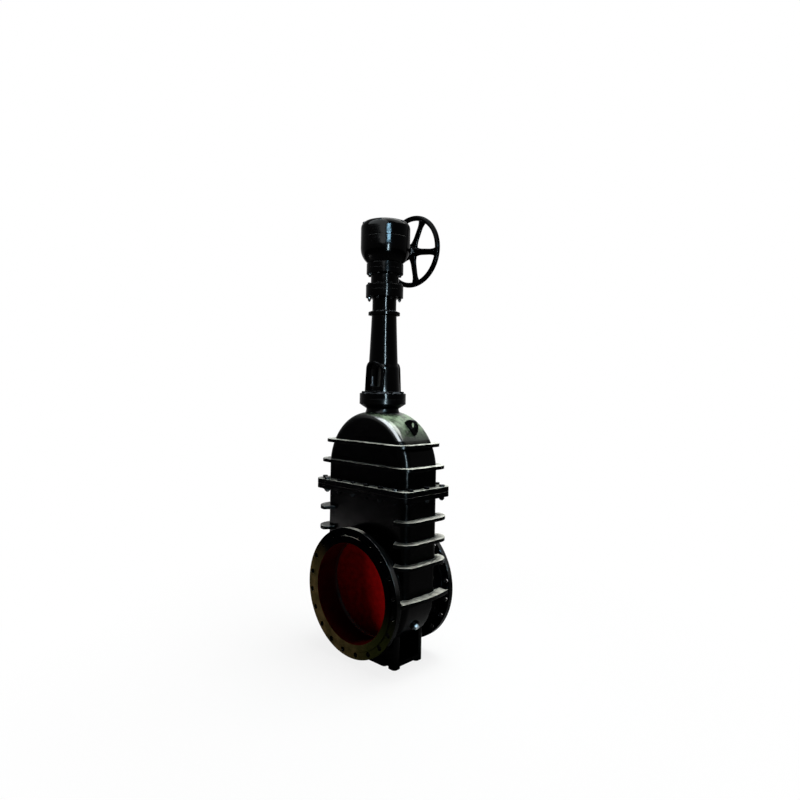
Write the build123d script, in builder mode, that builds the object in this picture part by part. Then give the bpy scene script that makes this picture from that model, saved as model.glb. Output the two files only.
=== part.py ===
from build123d import *
import math
import os

os.makedirs("parts", exist_ok=True)

# Rising-stem wedge gate valve, 600 mm bore, worked by a bevel gear and a side handwheel.
# Millimetres. The origin is on the ground under the stem, Z is up the stem, Y runs along the pipe
# and X across it. The valve is shown closed.

# Pipe ends
bore_r = 300.0
face_to_face = 508.0
pipe_flange_rim = 90.0
pipe_flange_t = 36.0
raised_face_rim = 42.5
raised_face_h = 5.0
pipe_bolt_count = 20
pipe_bolt_rim = 62.5
pipe_bolt_hole_r = 15.5
pipe_neck_wall = 30.0
ground_gap = 40.0
pipe_flange_r = bore_r + pipe_flange_rim
raised_face_r = bore_r + raised_face_rim
pipe_bolt_circle_r = bore_r + pipe_bolt_rim
bore_z = pipe_flange_r + ground_gap
pipe_end_y = face_to_face / 2
flange_back_y = pipe_end_y - pipe_flange_t

# Seats and gate
seat_width = 18.0
seat_ring_t = 18.0
seat_proud = 3.0
seat_gap = 0.3
seat_y = 95.0
wedge_angle = math.radians(4.0)
gate_rim = 4.0
gate_ring_t = 12.0
gate_ring_lap = 2.0
gate_dish_rim = 20.0
gate_dish_depth = 34.0
gate_core_y = 34.0
gate_core_rim = 52.0
gate_hub_x = 75.0
gate_hub_y = 58.0
gate_hub_h = 73.0
nut_pocket_x = 52.0
nut_pocket_h = 50.0
nut_pocket_lid = 20.0
pocket_gap = 1.0
nut_pin_r = 8.0
open_margin = 3.0
gate_dish_r = bore_r - gate_dish_rim
ring_outer_r = bore_r + seat_width
gate_r = ring_outer_r + gate_rim
hub_top = gate_r + gate_hub_h
stroke = gate_r + bore_r + open_margin

# Guides that keep the gate square
guide_x = 22.0
guide_rail_t = 10.0
guide_groove = 12.0
guide_gap = 2.0
guide_end_gap = 5.0
guide_foot = 60.0
guide_y = guide_groove / 2 + guide_rail_t

# Casing shell
gate_clearance = 8.0
chamber_y = 125.0
chamber_edge_r = 30.0
casing_wall = 20.0
shell_edge_r = 45.0
casing_rise = 228.0
casing_h = pipe_flange_r + casing_rise
chamber_r = gate_r + gate_clearance
shell_r = chamber_r + casing_wall
shell_y = chamber_y + casing_wall
casing_top = bore_z + casing_h
boss_bite = 5.0

# Foot
foot_inset = 88.0
foot_edge_r = 20.0
foot_wall_t = 40.0
foot_sole_t = 25.0
foot_web_t = 30.0
pad_h = 15.0
pad_x = 62.0
pad_y = 60.0
pad_gap = 22.0
foot_x = shell_r - foot_inset
foot_y = chamber_y
foot_top_z = bore_z - bore_r / 2
foot_bar_x = foot_x - pad_x - pad_gap

# Ribs
rib_t = 20.0
casing_rib_out = 60.0
bonnet_rib_out = 50.0
rib_edge = 1.0
rib_taper = 42.0
rib_fade = 82.0
casing_rib_shares = (0.348, 0.558, 0.767)
bonnet_rib_shares = (0.337, 0.614)
side_rib_t = 24.0
side_rib_flare = 34.0
side_rib_bulge = 26.0
rib_reach = shell_r - rib_fade
side_rib_x = shell_r + side_rib_flare

# Joint between casing and bonnet
joint_end_rim = 52.0
joint_side_rim = 66.0
joint_corner_r = 55.0
casing_flange_t = 28.0
bonnet_flange_t = 29.0
gasket_t = 3.0
gasket_margin = 3.0
joint_bolt_r = 10.0
joint_bolt_inset = 24.0
hole_gap = 1.0
joint_long_count = 6
joint_long_gap = 78.0
joint_short_count = 3
joint_short_gap = 47.0
joint_x = shell_r + joint_end_rim
joint_y = shell_y + joint_side_rim
joint_grip = casing_flange_t + gasket_t + bonnet_flange_t
bonnet_base = casing_top + gasket_t
bolt_line_x = joint_x - joint_bolt_inset
bolt_line_y = joint_y - joint_bolt_inset
joint_long_pitch = 2 * (bolt_line_x - joint_long_gap) / (joint_long_count - 1)
joint_short_pitch = 2 * (bolt_line_y - joint_short_gap) / (joint_short_count - 1)

# Bonnet
headroom = 50.0
arch_z = bore_z + stroke + hub_top + headroom - chamber_r
arch_inner_top = arch_z + chamber_r
arch_top = arch_z + shell_r
neck_h = 80.0
neck_waist_r = 101.0
neck_root_r = 122.0
neck_waist_drop = 60.0
neck_flange_r = 145.0
neck_flange_t = 31.0
neck_top = arch_top + neck_h

# Stem
stem_r = 36.0
thread_r = 35.5
stem_tail_r = 30.0
stem_collar_r = 50.0
stem_collar_h = 20.0
stem_fit = 0.05
thread_fit = 0.08

# Stuffing box
box_r = 54.0
box_wall = 24.0
box_rise = 45.0
bush_h = 30.0
bush_r = 50.0
packing_rings = 5
packing_h = 17.0
gland_nose_wall_gap = 0.5
gland_flange_r = 80.0
gland_flange_t = 22.0
gland_lift = 12.0
gland_stud_r = 8.0
gland_stud_count = 4
gland_stud_circle_r = 67.0
gland_stud_out = 60.0
packing_floor = arch_inner_top + bush_h
packing_top = packing_floor + packing_rings * packing_h
box_top = neck_top + box_rise
gland_seat = box_top + gland_lift
gland_stud_top = gland_seat + gland_flange_t + gland_stud_out

# Column, the long hollow pillar between bonnet and gearbox
column_foot_t = 34.0
column_bore_r = 84.0
column_neck_bore_r = 60.0
column_shoulder_r = 108.0
column_room_r = 99.0
column_root_r = 91.0
column_neck_r = 75.0
column_bead_r = 99.0
column_bead_h = 24.0
column_bead_drop = 134.0
column_foot_slope = 11.0
column_step_h = 18.0
bore_taper_h = 60.0
edge_ease = 4.0
column_flange_t = 49.0
room_h = 196.0
window_x = 66.0
window_sill = 52.0
window_spring = 178.0
window_rise = 42.0
window_frame = 13.0
window_frame_out = 8.0
column_bolt_r = 8.0
column_bolt_count = 8
column_bolt_circle_r = 127.0
thread_room = 66.0
gearbox_sink = 22.0

# Spool between column and gearbox
spool_h = 132.0
spool_flange_t = 34.0
spool_bolt_r = 6.0
spool_bolt_count = 8
spool_bolt_inset = 14.0
spool_head_room = 14.0
spool_low_rim = 30.0
race_outer_r = 80.0
bearing_rim = 35.0
spool_top_flange_r = race_outer_r + bearing_rim
spool_top_circle_r = spool_top_flange_r - spool_bolt_inset
spool_neck_r = spool_top_circle_r - spool_head_room
column_flange_r = spool_neck_r + spool_low_rim
gearbox_z = gland_stud_top + thread_room + stroke - gearbox_sink
column_h = gearbox_z - spool_h - neck_top
column_top = neck_top + column_h
spool_low_circle_r = column_flange_r - spool_bolt_inset
spool_start = 180 / spool_bolt_count

# Bevel gear pair
gear_module = 6.5
pinion_teeth = 12
gear_teeth = 36
pressure_angle = math.radians(20.0)
face_width = 30.0
pinion_addendum = 1.10 * gear_module
gear_addendum = 0.45 * gear_module
root_clearance = 0.25 * gear_module
backlash = 0.9
pinion_pitch_r = gear_module * pinion_teeth / 2
gear_pitch_r = gear_module * gear_teeth / 2
cone_distance = math.hypot(pinion_pitch_r, gear_pitch_r)
gear_body_t = 31.4

# Stem nut and its thrust bearings
nut_r = 52.0
nut_journal_r = 48.0
nut_collar_r = 72.0
nut_collar_h = 12.0
race_t = 6.0
roller_r = 5.0
roller_length = 18.0
roller_count = 12
bearing_gap = 0.3
nut_tail = 10.0
journal_gap = 0.4
seal_t = 12.0
seal_wall = 10.0
housing_foot_t = 34.0
housing_floor_t = 12.0
pinion_headroom = 12.0
bearing_h = 2 * race_t + 2 * roller_r + 2 * bearing_gap
lower_bearing_z = gearbox_z + housing_foot_t + housing_floor_t
nut_collar_z = lower_bearing_z + bearing_h
gear_seat_z = nut_collar_z + nut_collar_h
apex_z = gear_seat_z + gear_body_t + pinion_pitch_r
upper_bearing_z = apex_z + pinion_pitch_r + pinion_headroom
upper_bearing_top = upper_bearing_z + bearing_h

# Gearbox housing
drum_wall = 12.0
drum_gap = 25.0
bowl_root_step = 7.0
bowl_rim_drop = 19.0
boss_r = 35.0
boss_cap = 1.0
drum_edge_r = 44.0
cover_wall = 14.0
cover_headroom = 67.4
cover_screw_r = 6.0
cover_screw_count = 6
cover_screw_sink = 2.0
cover_lug_r = 14.0
cover_lug_inset = 8.0
cover_lug_drop = 40.0
drum_inner_r = gear_pitch_r + drum_gap
drum_r = drum_inner_r + drum_wall
housing_foot_r = spool_top_flange_r
bowl_root_r = housing_foot_r - bowl_root_step
cover_lug_circle_r = drum_inner_r - cover_lug_inset
rim_z = apex_z - bowl_rim_drop
split_z = apex_z + boss_r + boss_cap
drum_top = upper_bearing_top + cover_headroom

# Pinion shaft and its cartridge
shaft_r = 18.0
shaft_fit = 0.05
bush_wall = 6.0
bush_length = 24.0
cartridge_r = 30.0
cartridge_flange_r = 48.0
cartridge_flange_t = 12.0
cartridge_sink = 19.0
cartridge_nose = 34.0
boss_pad_t = 16.0
cartridge_screw_r = 4.0
cartridge_screw_circle_r = 39.0
cartridge_screw_count = 4
pinion_back_t = 8.0
shaft_tip = 7.0
key_w = 8.0
key_h = 8.0
shaft_seal_t = 6.0
boss_pad_y = drum_r + 2
boss_face_y = boss_pad_y + boss_pad_t
cartridge_inner_y = drum_r - cartridge_sink
cartridge_nose_y = boss_face_y + cartridge_nose
shaft_inner_y = gear_pitch_r - face_width - shaft_tip

# Handwheel
wheel_gap = 41.0
wheel_r = 232.0
rim_r = 16.5
spoke_count = 5
spoke_start = 65.0
spoke_root_w = 38.0
spoke_tip_w = 28.0
spoke_t = 20.0
wheel_hub_r = 36.0
wheel_hub_h = 44.0
wheel_nut_r = 20.0
wheel_nut_h = 16.0
shaft_end = 8.0
washer_t = 4.0
washer_r = 28.0
wheel_y = cartridge_nose_y + wheel_gap

# Small fittings
plug_angle = -30.0
plug_r = 14.0
plug_boss_r = 30.0
plug_boss_h = 12.0
plug_head_r = 18.0
plug_head_h = 14.0
eye_angle = 47.0
eye_half_length = 52.0
eye_height = 60.0
eye_t = 24.0
eye_hole_r = 19.0
eye_hole_rise = 32.0
eye_shank_r = 10.0
eye_shank_length = 18.0
eye_foot_h = 6.0

# Hexagons: width across flats is about 1.6 thread diameters, so the corner radius follows
hex_corner = 1.75
head_h_factor = 1.25
nut_h_factor = 1.6
bolt_end = 6.0

# Seat planes, one each side, leaning so that the gate wedges shut
inlet_seat_plane = Plane(
    origin=(0, -seat_y, bore_z),
    x_dir=(1, 0, 0),
    z_dir=(0, -math.cos(wedge_angle), -math.sin(wedge_angle)),
)
outlet_seat_plane = Plane(
    origin=(0, seat_y, bore_z),
    x_dir=(1, 0, 0),
    z_dir=(0, math.cos(wedge_angle), -math.sin(wedge_angle)),
)
seat_planes = (inlet_seat_plane, outlet_seat_plane)


def joint_bolt_places():
    """Bolt places round the casing joint, on its two long and two short sides."""
    places = []
    for k in range(joint_long_count):
        x = (k - (joint_long_count - 1) / 2) * joint_long_pitch
        places.append((x, bolt_line_y))
        places.append((x, -bolt_line_y))
    for k in range(joint_short_count):
        y = (k - (joint_short_count - 1) / 2) * joint_short_pitch
        places.append((bolt_line_x, y))
        places.append((-bolt_line_x, y))
    return places


def shell_edges(part, half_depth, open_z):
    """Edges round a shell's two flat sides, without those at its open end."""
    return [
        edge
        for edge in part.edges()
        if abs(abs(edge.center().Y) - half_depth) < 0.01
        and abs(edge.center().Z - open_z) > 0.01
    ]


# Space inside the casing: flat sides over a half-round bottom that the gate drops into
with BuildPart() as chamber:
    with BuildSketch(Plane.XZ):
        with BuildLine():
            Line((chamber_r, casing_top), (chamber_r, bore_z))
            ThreePointArc((chamber_r, bore_z), (0, bore_z - chamber_r), (-chamber_r, bore_z))
            Line((-chamber_r, bore_z), (-chamber_r, casing_top))
            Line((-chamber_r, casing_top), (chamber_r, casing_top))
        make_face()
    extrude(amount=chamber_y, both=True)
    fillet(shell_edges(chamber.part, chamber_y, casing_top), radius=chamber_edge_r)

# Round bosses inside the chamber, cut to the wedge angle, that carry the seat rings
with BuildPart() as seat_bosses:
    with BuildSketch(Plane.XZ):
        with Locations((0, bore_z)):
            Circle(chamber_r + boss_bite)
    extrude(amount=chamber_y + boss_bite, both=True)
    with BuildSketch(Plane.YZ):
        rise = chamber_r + 2 * boss_bite
        lean = rise * math.tan(wedge_angle)
        face = seat_y + seat_proud / math.cos(wedge_angle)
        with BuildLine():
            Polyline(
                (-face - lean, bore_z + rise),
                (face + lean, bore_z + rise),
                (face - lean, bore_z - rise),
                (-face + lean, bore_z - rise),
                close=True,
            )
        make_face()
    extrude(amount=chamber_r + 2 * boss_bite, both=True, mode=Mode.SUBTRACT)

# Foot under the round bottom: a sole with two cross walls and a web between them
with BuildPart() as foot:
    with BuildSketch(Plane.XY.offset(pad_h)):
        RectangleRounded(2 * foot_x, 2 * foot_y, foot_edge_r)
    extrude(amount=foot_top_z - pad_h)
    with BuildSketch(Plane.XY.offset(pad_h + foot_sole_t)):
        for side in (-1, 1):
            with Locations((side * (foot_x + foot_web_t / 2) / 2, 0)):
                Rectangle(foot_x - foot_web_t / 2, 2 * (foot_y - foot_wall_t))
    extrude(amount=foot_top_z - pad_h - foot_sole_t, mode=Mode.SUBTRACT)
    # bar and four corner pads that it stands on
    with BuildSketch(Plane.XY):
        with GridLocations(2 * foot_x - pad_x, 2 * foot_y - pad_y, 2, 2):
            RectangleRounded(pad_x, pad_y, foot_edge_r)
        RectangleRounded(2 * foot_bar_x, 2 * foot_y, foot_edge_r)
    extrude(amount=pad_h)

# Casing: one iron casting with the pipe flanges, the gate chamber, ribs and the foot
with BuildPart() as casing:
    with BuildSketch(Plane.XZ):
        with BuildLine():
            Line((shell_r, casing_top), (shell_r, bore_z))
            ThreePointArc((shell_r, bore_z), (0, bore_z - shell_r), (-shell_r, bore_z))
            Line((-shell_r, bore_z), (-shell_r, casing_top))
            Line((-shell_r, casing_top), (shell_r, casing_top))
        make_face()
    extrude(amount=shell_y, both=True)
    fillet(shell_edges(casing.part, shell_y, casing_top), radius=shell_edge_r)
    add(foot.part)
    # pipe necks, flanges and raised faces
    with BuildSketch(Plane.XZ):
        with Locations((0, bore_z)):
            Circle(bore_r + pipe_neck_wall)
    extrude(amount=flange_back_y + 1, both=True)
    for side in (-1, 1):
        with BuildSketch(Plane.XZ.offset(side * flange_back_y)):
            with Locations((0, bore_z)):
                Circle(pipe_flange_r)
        extrude(amount=side * (pipe_flange_t - raised_face_h))
        with BuildSketch(Plane.XZ.offset(side * (pipe_end_y - raised_face_h))):
            with Locations((0, bore_z)):
                Circle(raised_face_r)
        extrude(amount=side * raised_face_h)
    # flange of the bonnet joint
    with BuildSketch(Plane.XY.offset(casing_top - casing_flange_t)):
        RectangleRounded(2 * joint_x, 2 * joint_y, joint_corner_r)
    extrude(amount=casing_flange_t)
    # ribs round the narrow sides, which fade out on the broad ones
    rib_y = shell_y + casing_rib_out
    for share in casing_rib_shares:
        with BuildSketch(Plane.XY.offset(bore_z + share * casing_h - rib_t)):
            RectangleRounded(
                2 * (shell_r + casing_rib_out), 2 * rib_y, shell_edge_r + casing_rib_out
            )
            with BuildLine():
                Polyline(
                    (rib_reach, 0),
                    (rib_reach, shell_y),
                    (rib_reach + rib_taper, rib_y + rib_edge),
                    (-rib_reach - rib_taper, rib_y + rib_edge),
                    (-rib_reach, shell_y),
                    (-rib_reach, -shell_y),
                    (-rib_reach - rib_taper, -rib_y - rib_edge),
                    (rib_reach + rib_taper, -rib_y - rib_edge),
                    (rib_reach, -shell_y),
                    close=True,
                )
            make_face(mode=Mode.SUBTRACT)
        extrude(amount=rib_t)
    # flared rib at bore height, from one pipe flange to the other
    with BuildSketch(Plane.YZ):
        flare = side_rib_flare
        with BuildLine():
            for up in (-1, 1):
                for along in (-1, 1):
                    start = (along * (flange_back_y - flare), bore_z + up * side_rib_t / 2)
                    end = (along * flange_back_y, bore_z + up * (side_rib_t / 2 + flare))
                    centre = (start[0], end[1])
                    bend = (
                        centre[0] + along * flare * math.sin(math.pi / 4),
                        centre[1] - up * flare * math.cos(math.pi / 4),
                    )
                    ThreePointArc(start, bend, end)
                Line(
                    (-flange_back_y + flare, bore_z + up * side_rib_t / 2),
                    (flange_back_y - flare, bore_z + up * side_rib_t / 2),
                )
            for along in (-1, 1):
                Line(
                    (along * flange_back_y, bore_z - side_rib_t / 2 - flare),
                    (along * flange_back_y, bore_z + side_rib_t / 2 + flare),
                )
        make_face()
    extrude(amount=side_rib_x, both=True)
    with BuildSketch(Plane.XY.offset(bore_z - side_rib_t / 2)):
        for side in (-1, 1):
            with BuildLine():
                Line((side * side_rib_x, -flange_back_y), (side * side_rib_x, flange_back_y))
                ThreePointArc(
                    (side * side_rib_x, -flange_back_y),
                    (side * (side_rib_x + side_rib_bulge), 0),
                    (side * side_rib_x, flange_back_y),
                )
            make_face()
    extrude(amount=side_rib_t)
    # boss for the drain plug
    plug_plane = Plane(
        origin=(0, 0, bore_z),
        z_dir=(math.cos(math.radians(plug_angle)), 0, math.sin(math.radians(plug_angle))),
    )
    with BuildSketch(plug_plane.offset(chamber_r + boss_bite)):
        Circle(plug_boss_r)
    extrude(amount=casing_wall + plug_boss_h - boss_bite)
    # hollow out, then put back the bosses and guides
    add(chamber.part, mode=Mode.SUBTRACT)
    add(seat_bosses.part)
    with BuildSketch(Plane.XY.offset(bore_z - guide_foot)):
        for side in (-1, 1):
            with Locations((side * (chamber_r + boss_bite - (guide_x + boss_bite) / 2), 0)):
                Rectangle(guide_x + boss_bite, 2 * guide_y)
                Rectangle(guide_x + boss_bite, guide_groove, mode=Mode.SUBTRACT)
    extrude(amount=casing_h + guide_foot)
    with BuildSketch(Plane.XZ):
        with Locations((0, bore_z)):
            Circle(bore_r)
    extrude(amount=pipe_end_y, both=True, mode=Mode.SUBTRACT)
    for plane in seat_planes:
        with BuildSketch(plane.offset(seat_ring_t + seat_gap / 2)):
            Circle(ring_outer_r)
        extrude(amount=-(seat_ring_t + seat_gap), mode=Mode.SUBTRACT)
    # bolt holes
    for side in (-1, 1):
        with BuildSketch(Plane.XZ.offset(side * flange_back_y)):
            with Locations((0, bore_z)):
                with PolarLocations(pipe_bolt_circle_r, pipe_bolt_count, 180 / pipe_bolt_count):
                    Circle(pipe_bolt_hole_r)
        extrude(amount=side * pipe_flange_t, mode=Mode.SUBTRACT)
    with BuildSketch(Plane.XY.offset(casing_top)):
        with Locations(*joint_bolt_places()):
            Circle(joint_bolt_r + hole_gap)
    extrude(amount=-casing_flange_t, mode=Mode.SUBTRACT)
    with BuildSketch(plug_plane.offset(chamber_r - boss_bite)):
        Circle(plug_r)
    extrude(amount=casing_wall + plug_boss_h + 2 * boss_bite, mode=Mode.SUBTRACT)
casing.part.label = "casing"
export_step(casing.part, "parts/casing.step")

# Gasket between the casing and bonnet flanges, inside the bolts
with BuildPart() as bonnet_gasket:
    with BuildSketch(Plane.XY.offset(casing_top)):
        margin = joint_bolt_inset + joint_bolt_r + hole_gap + gasket_margin
        RectangleRounded(2 * (joint_x - margin), 2 * (joint_y - margin), joint_corner_r - margin)
        RectangleRounded(2 * chamber_r, 2 * chamber_y, chamber_edge_r, mode=Mode.SUBTRACT)
    extrude(amount=gasket_t)
bonnet_gasket.part.label = "bonnet_gasket"
export_step(bonnet_gasket.part, "parts/bonnet_gasket.step")

# Space inside the bonnet, an arch that the open gate rises into
with BuildPart() as bonnet_room:
    with BuildSketch(Plane.XZ):
        with BuildLine():
            Line((chamber_r, bonnet_base), (chamber_r, arch_z))
            ThreePointArc((chamber_r, arch_z), (0, arch_inner_top), (-chamber_r, arch_z))
            Line((-chamber_r, arch_z), (-chamber_r, bonnet_base))
            Line((-chamber_r, bonnet_base), (chamber_r, bonnet_base))
        make_face()
    extrude(amount=chamber_y, both=True)
    fillet(shell_edges(bonnet_room.part, chamber_y, bonnet_base), radius=chamber_edge_r)

# Bonnet: arched iron casting with two ribs all round and the stuffing box at its top
with BuildPart() as bonnet:
    with BuildSketch(Plane.XZ):
        with BuildLine():
            Line((shell_r, bonnet_base), (shell_r, arch_z))
            ThreePointArc((shell_r, arch_z), (0, arch_top), (-shell_r, arch_z))
            Line((-shell_r, arch_z), (-shell_r, bonnet_base))
            Line((-shell_r, bonnet_base), (shell_r, bonnet_base))
        make_face()
    extrude(amount=shell_y, both=True)
    fillet(shell_edges(bonnet.part, shell_y, bonnet_base), radius=shell_edge_r)
    with BuildSketch(Plane.XY.offset(bonnet_base)):
        RectangleRounded(2 * joint_x, 2 * joint_y, joint_corner_r)
    extrude(amount=bonnet_flange_t)
    for share in bonnet_rib_shares:
        rib_z = bonnet_base + share * (arch_top - bonnet_base)
        climb = max(0, rib_z - arch_z)
        rib_x = math.sqrt(shell_r**2 - climb**2) + bonnet_rib_out
        with BuildSketch(Plane.XY.offset(rib_z - rib_t)):
            RectangleRounded(
                2 * rib_x, 2 * (shell_y + bonnet_rib_out), shell_edge_r + bonnet_rib_out
            )
        extrude(amount=rib_t)
    # waisted neck, its flange, and the stuffing box that stands up inside the column
    with BuildSketch(Plane.XZ):
        flange_foot_z = neck_top - neck_flange_t
        waist_z = neck_top - neck_waist_drop
        with BuildLine():
            Line((0, arch_inner_top), (neck_root_r, arch_inner_top))
            ThreePointArc(
                (neck_root_r, arch_inner_top),
                (neck_waist_r + 4, (arch_inner_top + waist_z) / 2 + 2),
                (neck_waist_r, waist_z),
            )
            Line((neck_waist_r, waist_z), (neck_flange_r, flange_foot_z))
            Line((neck_flange_r, flange_foot_z), (neck_flange_r, neck_top))
            Line((neck_flange_r, neck_top), (box_r + box_wall, neck_top))
            Line((box_r + box_wall, neck_top), (box_r + box_wall, box_top))
            Line((box_r + box_wall, box_top), (0, box_top))
            Line((0, box_top), (0, arch_inner_top))
        make_face()
    revolve(axis=Axis.Z)
    add(bonnet_room.part, mode=Mode.SUBTRACT)
    with BuildSketch(Plane.XY.offset(bonnet_base)):
        for side in (-1, 1):
            with Locations((side * (chamber_r + boss_bite - (guide_x + boss_bite) / 2), 0)):
                Rectangle(guide_x + boss_bite, 2 * guide_y)
                Rectangle(guide_x + boss_bite, guide_groove, mode=Mode.SUBTRACT)
    extrude(amount=arch_z - bonnet_base + rib_t)
    # backseat bush bore, stuffing box bore, bolt and stud holes
    with BuildSketch(Plane.XY.offset(arch_inner_top - boss_bite)):
        Circle(bush_r)
    extrude(amount=bush_h + boss_bite, mode=Mode.SUBTRACT)
    with BuildSketch(Plane.XY.offset(packing_floor)):
        Circle(box_r)
    extrude(amount=box_top - packing_floor, mode=Mode.SUBTRACT)
    with BuildSketch(Plane.XY.offset(bonnet_base)):
        with Locations(*joint_bolt_places()):
            Circle(joint_bolt_r + hole_gap)
    extrude(amount=bonnet_flange_t, mode=Mode.SUBTRACT)
    with BuildSketch(Plane.XY.offset(neck_top)):
        with PolarLocations(column_bolt_circle_r, column_bolt_count, 180 / column_bolt_count):
            Circle(column_bolt_r)
    extrude(amount=-neck_flange_t + bolt_end, mode=Mode.SUBTRACT)
    with BuildSketch(Plane.XY.offset(box_top)):
        with PolarLocations(gland_stud_circle_r, gland_stud_count, 180 / gland_stud_count):
            Circle(gland_stud_r - 2)
    extrude(amount=-box_rise, mode=Mode.SUBTRACT)
    # threaded hole for the lifting eye
    eye_plane = Plane(
        origin=(0, 0, arch_z),
        x_dir=(0, 1, 0),
        z_dir=(math.cos(math.radians(eye_angle)), 0, math.sin(math.radians(eye_angle))),
    )
    with BuildSketch(eye_plane.offset(shell_r + eye_foot_h)):
        Circle(eye_shank_r)
    extrude(amount=-eye_shank_length - eye_foot_h, mode=Mode.SUBTRACT)
bonnet.part.label = "bonnet"
export_step(bonnet.part, "parts/bonnet.step")

# Lifting eye: forged half-round loop, screwed into the bonnet's shoulder
with BuildPart() as lifting_eye:
    eye_side_plane = Plane(
        origin=eye_plane.offset(shell_r).origin,
        x_dir=(math.sin(math.radians(eye_angle)), 0, -math.cos(math.radians(eye_angle))),
        z_dir=(0, -1, 0),
    )
    with BuildSketch(eye_side_plane):
        with BuildLine():
            Line((-eye_half_length, 0), (eye_half_length, 0))
            Spline(
                (eye_half_length, 0),
                (eye_hole_r + 14, eye_hole_rise + 12),
                (0, eye_height),
                (-eye_hole_r - 14, eye_hole_rise + 12),
                (-eye_half_length, 0),
            )
        make_face()
        with Locations((0, eye_hole_rise)):
            Circle(eye_hole_r, mode=Mode.SUBTRACT)
    extrude(amount=eye_t / 2, both=True)
    # underside rounded to sit on the arch
    with BuildSketch(Plane.XZ):
        with Locations((0, arch_z)):
            Circle(shell_r)
    extrude(amount=eye_t, both=True, mode=Mode.SUBTRACT)
    with BuildSketch(eye_plane.offset(shell_r + 2 * eye_foot_h)):
        Circle(eye_shank_r)
    extrude(amount=-eye_shank_length - 2 * eye_foot_h)
lifting_eye.part.label = "lifting_eye"
export_step(lifting_eye.part, "parts/lifting_eye.step")

# Drain plug with a hexagon head
with BuildPart() as drain_plug:
    plug_face = chamber_r + casing_wall + plug_boss_h
    with BuildSketch(plug_plane.offset(plug_face)):
        RegularPolygon(plug_head_r, 6)
    extrude(amount=plug_head_h)
    with BuildSketch(plug_plane.offset(plug_face)):
        Circle(plug_r)
    extrude(amount=-casing_wall - plug_boss_h)
drain_plug.part.label = "drain_plug"
export_step(drain_plug.part, "parts/drain_plug.step")

# Hexagon bolts and nuts round the casing joint, heads on top
with BuildPart() as bonnet_bolts:
    with BuildSketch(Plane.XY.offset(bonnet_base + bonnet_flange_t)):
        with Locations(*joint_bolt_places()):
            RegularPolygon(hex_corner * joint_bolt_r, 6)
    extrude(amount=head_h_factor * joint_bolt_r)
    with BuildSketch(Plane.XY.offset(bonnet_base + bonnet_flange_t)):
        with Locations(*joint_bolt_places()):
            Circle(joint_bolt_r)
    extrude(amount=-(joint_grip + nut_h_factor * joint_bolt_r + bolt_end))
bonnet_bolts.part.label = "bonnet_bolts"
export_step(bonnet_bolts.part, "parts/bonnet_bolts.step")

with BuildPart() as bonnet_nuts:
    with BuildSketch(Plane.XY.offset(casing_top - casing_flange_t)):
        with Locations(*joint_bolt_places()):
            RegularPolygon(hex_corner * joint_bolt_r, 6)
            Circle(joint_bolt_r, mode=Mode.SUBTRACT)
    extrude(amount=-nut_h_factor * joint_bolt_r)
bonnet_nuts.part.label = "bonnet_nuts"
export_step(bonnet_nuts.part, "parts/bonnet_nuts.step")

# Bronze seat rings pressed into the casing bosses
for plane, name in zip(seat_planes, ("inlet_seat_ring", "outlet_seat_ring")):
    with BuildPart() as seat_ring:
        with BuildSketch(plane.offset(seat_gap / 2)):
            Circle(ring_outer_r)
            Circle(bore_r, mode=Mode.SUBTRACT)
        extrude(amount=seat_ring_t)
    seat_ring.part.label = name
    export_step(seat_ring.part, f"parts/{name}.step")

# Wedge gate: hollow iron disc with dished faces, guide slots and a stirrup for the stem nut
with BuildPart() as wedge_gate:
    with BuildSketch(Plane.XZ):
        with Locations((0, bore_z)):
            Circle(gate_r)
    extrude(amount=chamber_y, both=True)
    for plane in seat_planes:
        split(bisect_by=plane.offset(-seat_gap / 2 - seat_proud), keep=Keep.BOTTOM)
    with BuildSketch(Plane.XY.offset(bore_z + gate_r - gate_core_rim)):
        Rectangle(2 * gate_hub_x, 2 * gate_hub_y)
    extrude(amount=gate_hub_h + gate_core_rim)
    # shallow dish in each face
    dish_sphere_r = (gate_dish_r**2 + gate_dish_depth**2) / (2 * gate_dish_depth)
    for plane in seat_planes:
        with Locations(plane.offset(dish_sphere_r - gate_dish_depth - seat_gap / 2 - seat_proud)):
            Sphere(dish_sphere_r, mode=Mode.SUBTRACT)
    # grooves for the gate's own seat rings
    for plane in seat_planes:
        with BuildSketch(plane.offset(-seat_gap / 2)):
            Circle(ring_outer_r)
            Circle(bore_r - gate_ring_lap, mode=Mode.SUBTRACT)
        extrude(amount=-gate_ring_t, mode=Mode.SUBTRACT)
    # core that the casting is hollowed by, open to the stem
    with BuildSketch(Plane.XZ):
        with Locations((0, bore_z)):
            Circle(gate_r - gate_core_rim)
    extrude(amount=gate_core_y, both=True, mode=Mode.SUBTRACT)
    with BuildSketch(Plane.XY.offset(bore_z + hub_top)):
        Circle(stem_tail_r + pocket_gap)
    extrude(amount=-gate_hub_h - 2 * gate_core_rim, mode=Mode.SUBTRACT)
    # cross slot that holds the nut, and the slot over it for the stem
    pocket_z = bore_z + hub_top - nut_pocket_lid - nut_pocket_h
    with BuildSketch(Plane.XY.offset(pocket_z)):
        Rectangle(2 * nut_pocket_x, 4 * gate_hub_y)
    extrude(amount=nut_pocket_h, mode=Mode.SUBTRACT)
    with BuildSketch(Plane.XY.offset(pocket_z + nut_pocket_h)):
        Rectangle(2 * (stem_r + pocket_gap), 4 * gate_hub_y)
    extrude(amount=nut_pocket_lid, mode=Mode.SUBTRACT)
    # guide slots
    with BuildSketch(Plane.XY.offset(bore_z - gate_r)):
        for side in (-1, 1):
            slot_in = chamber_r - guide_x - guide_end_gap
            with Locations((side * (slot_in + chamber_r) / 2, 0)):
                Rectangle(chamber_r - slot_in, 2 * (guide_y + guide_gap))
    extrude(amount=2 * gate_r, mode=Mode.SUBTRACT)
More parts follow.
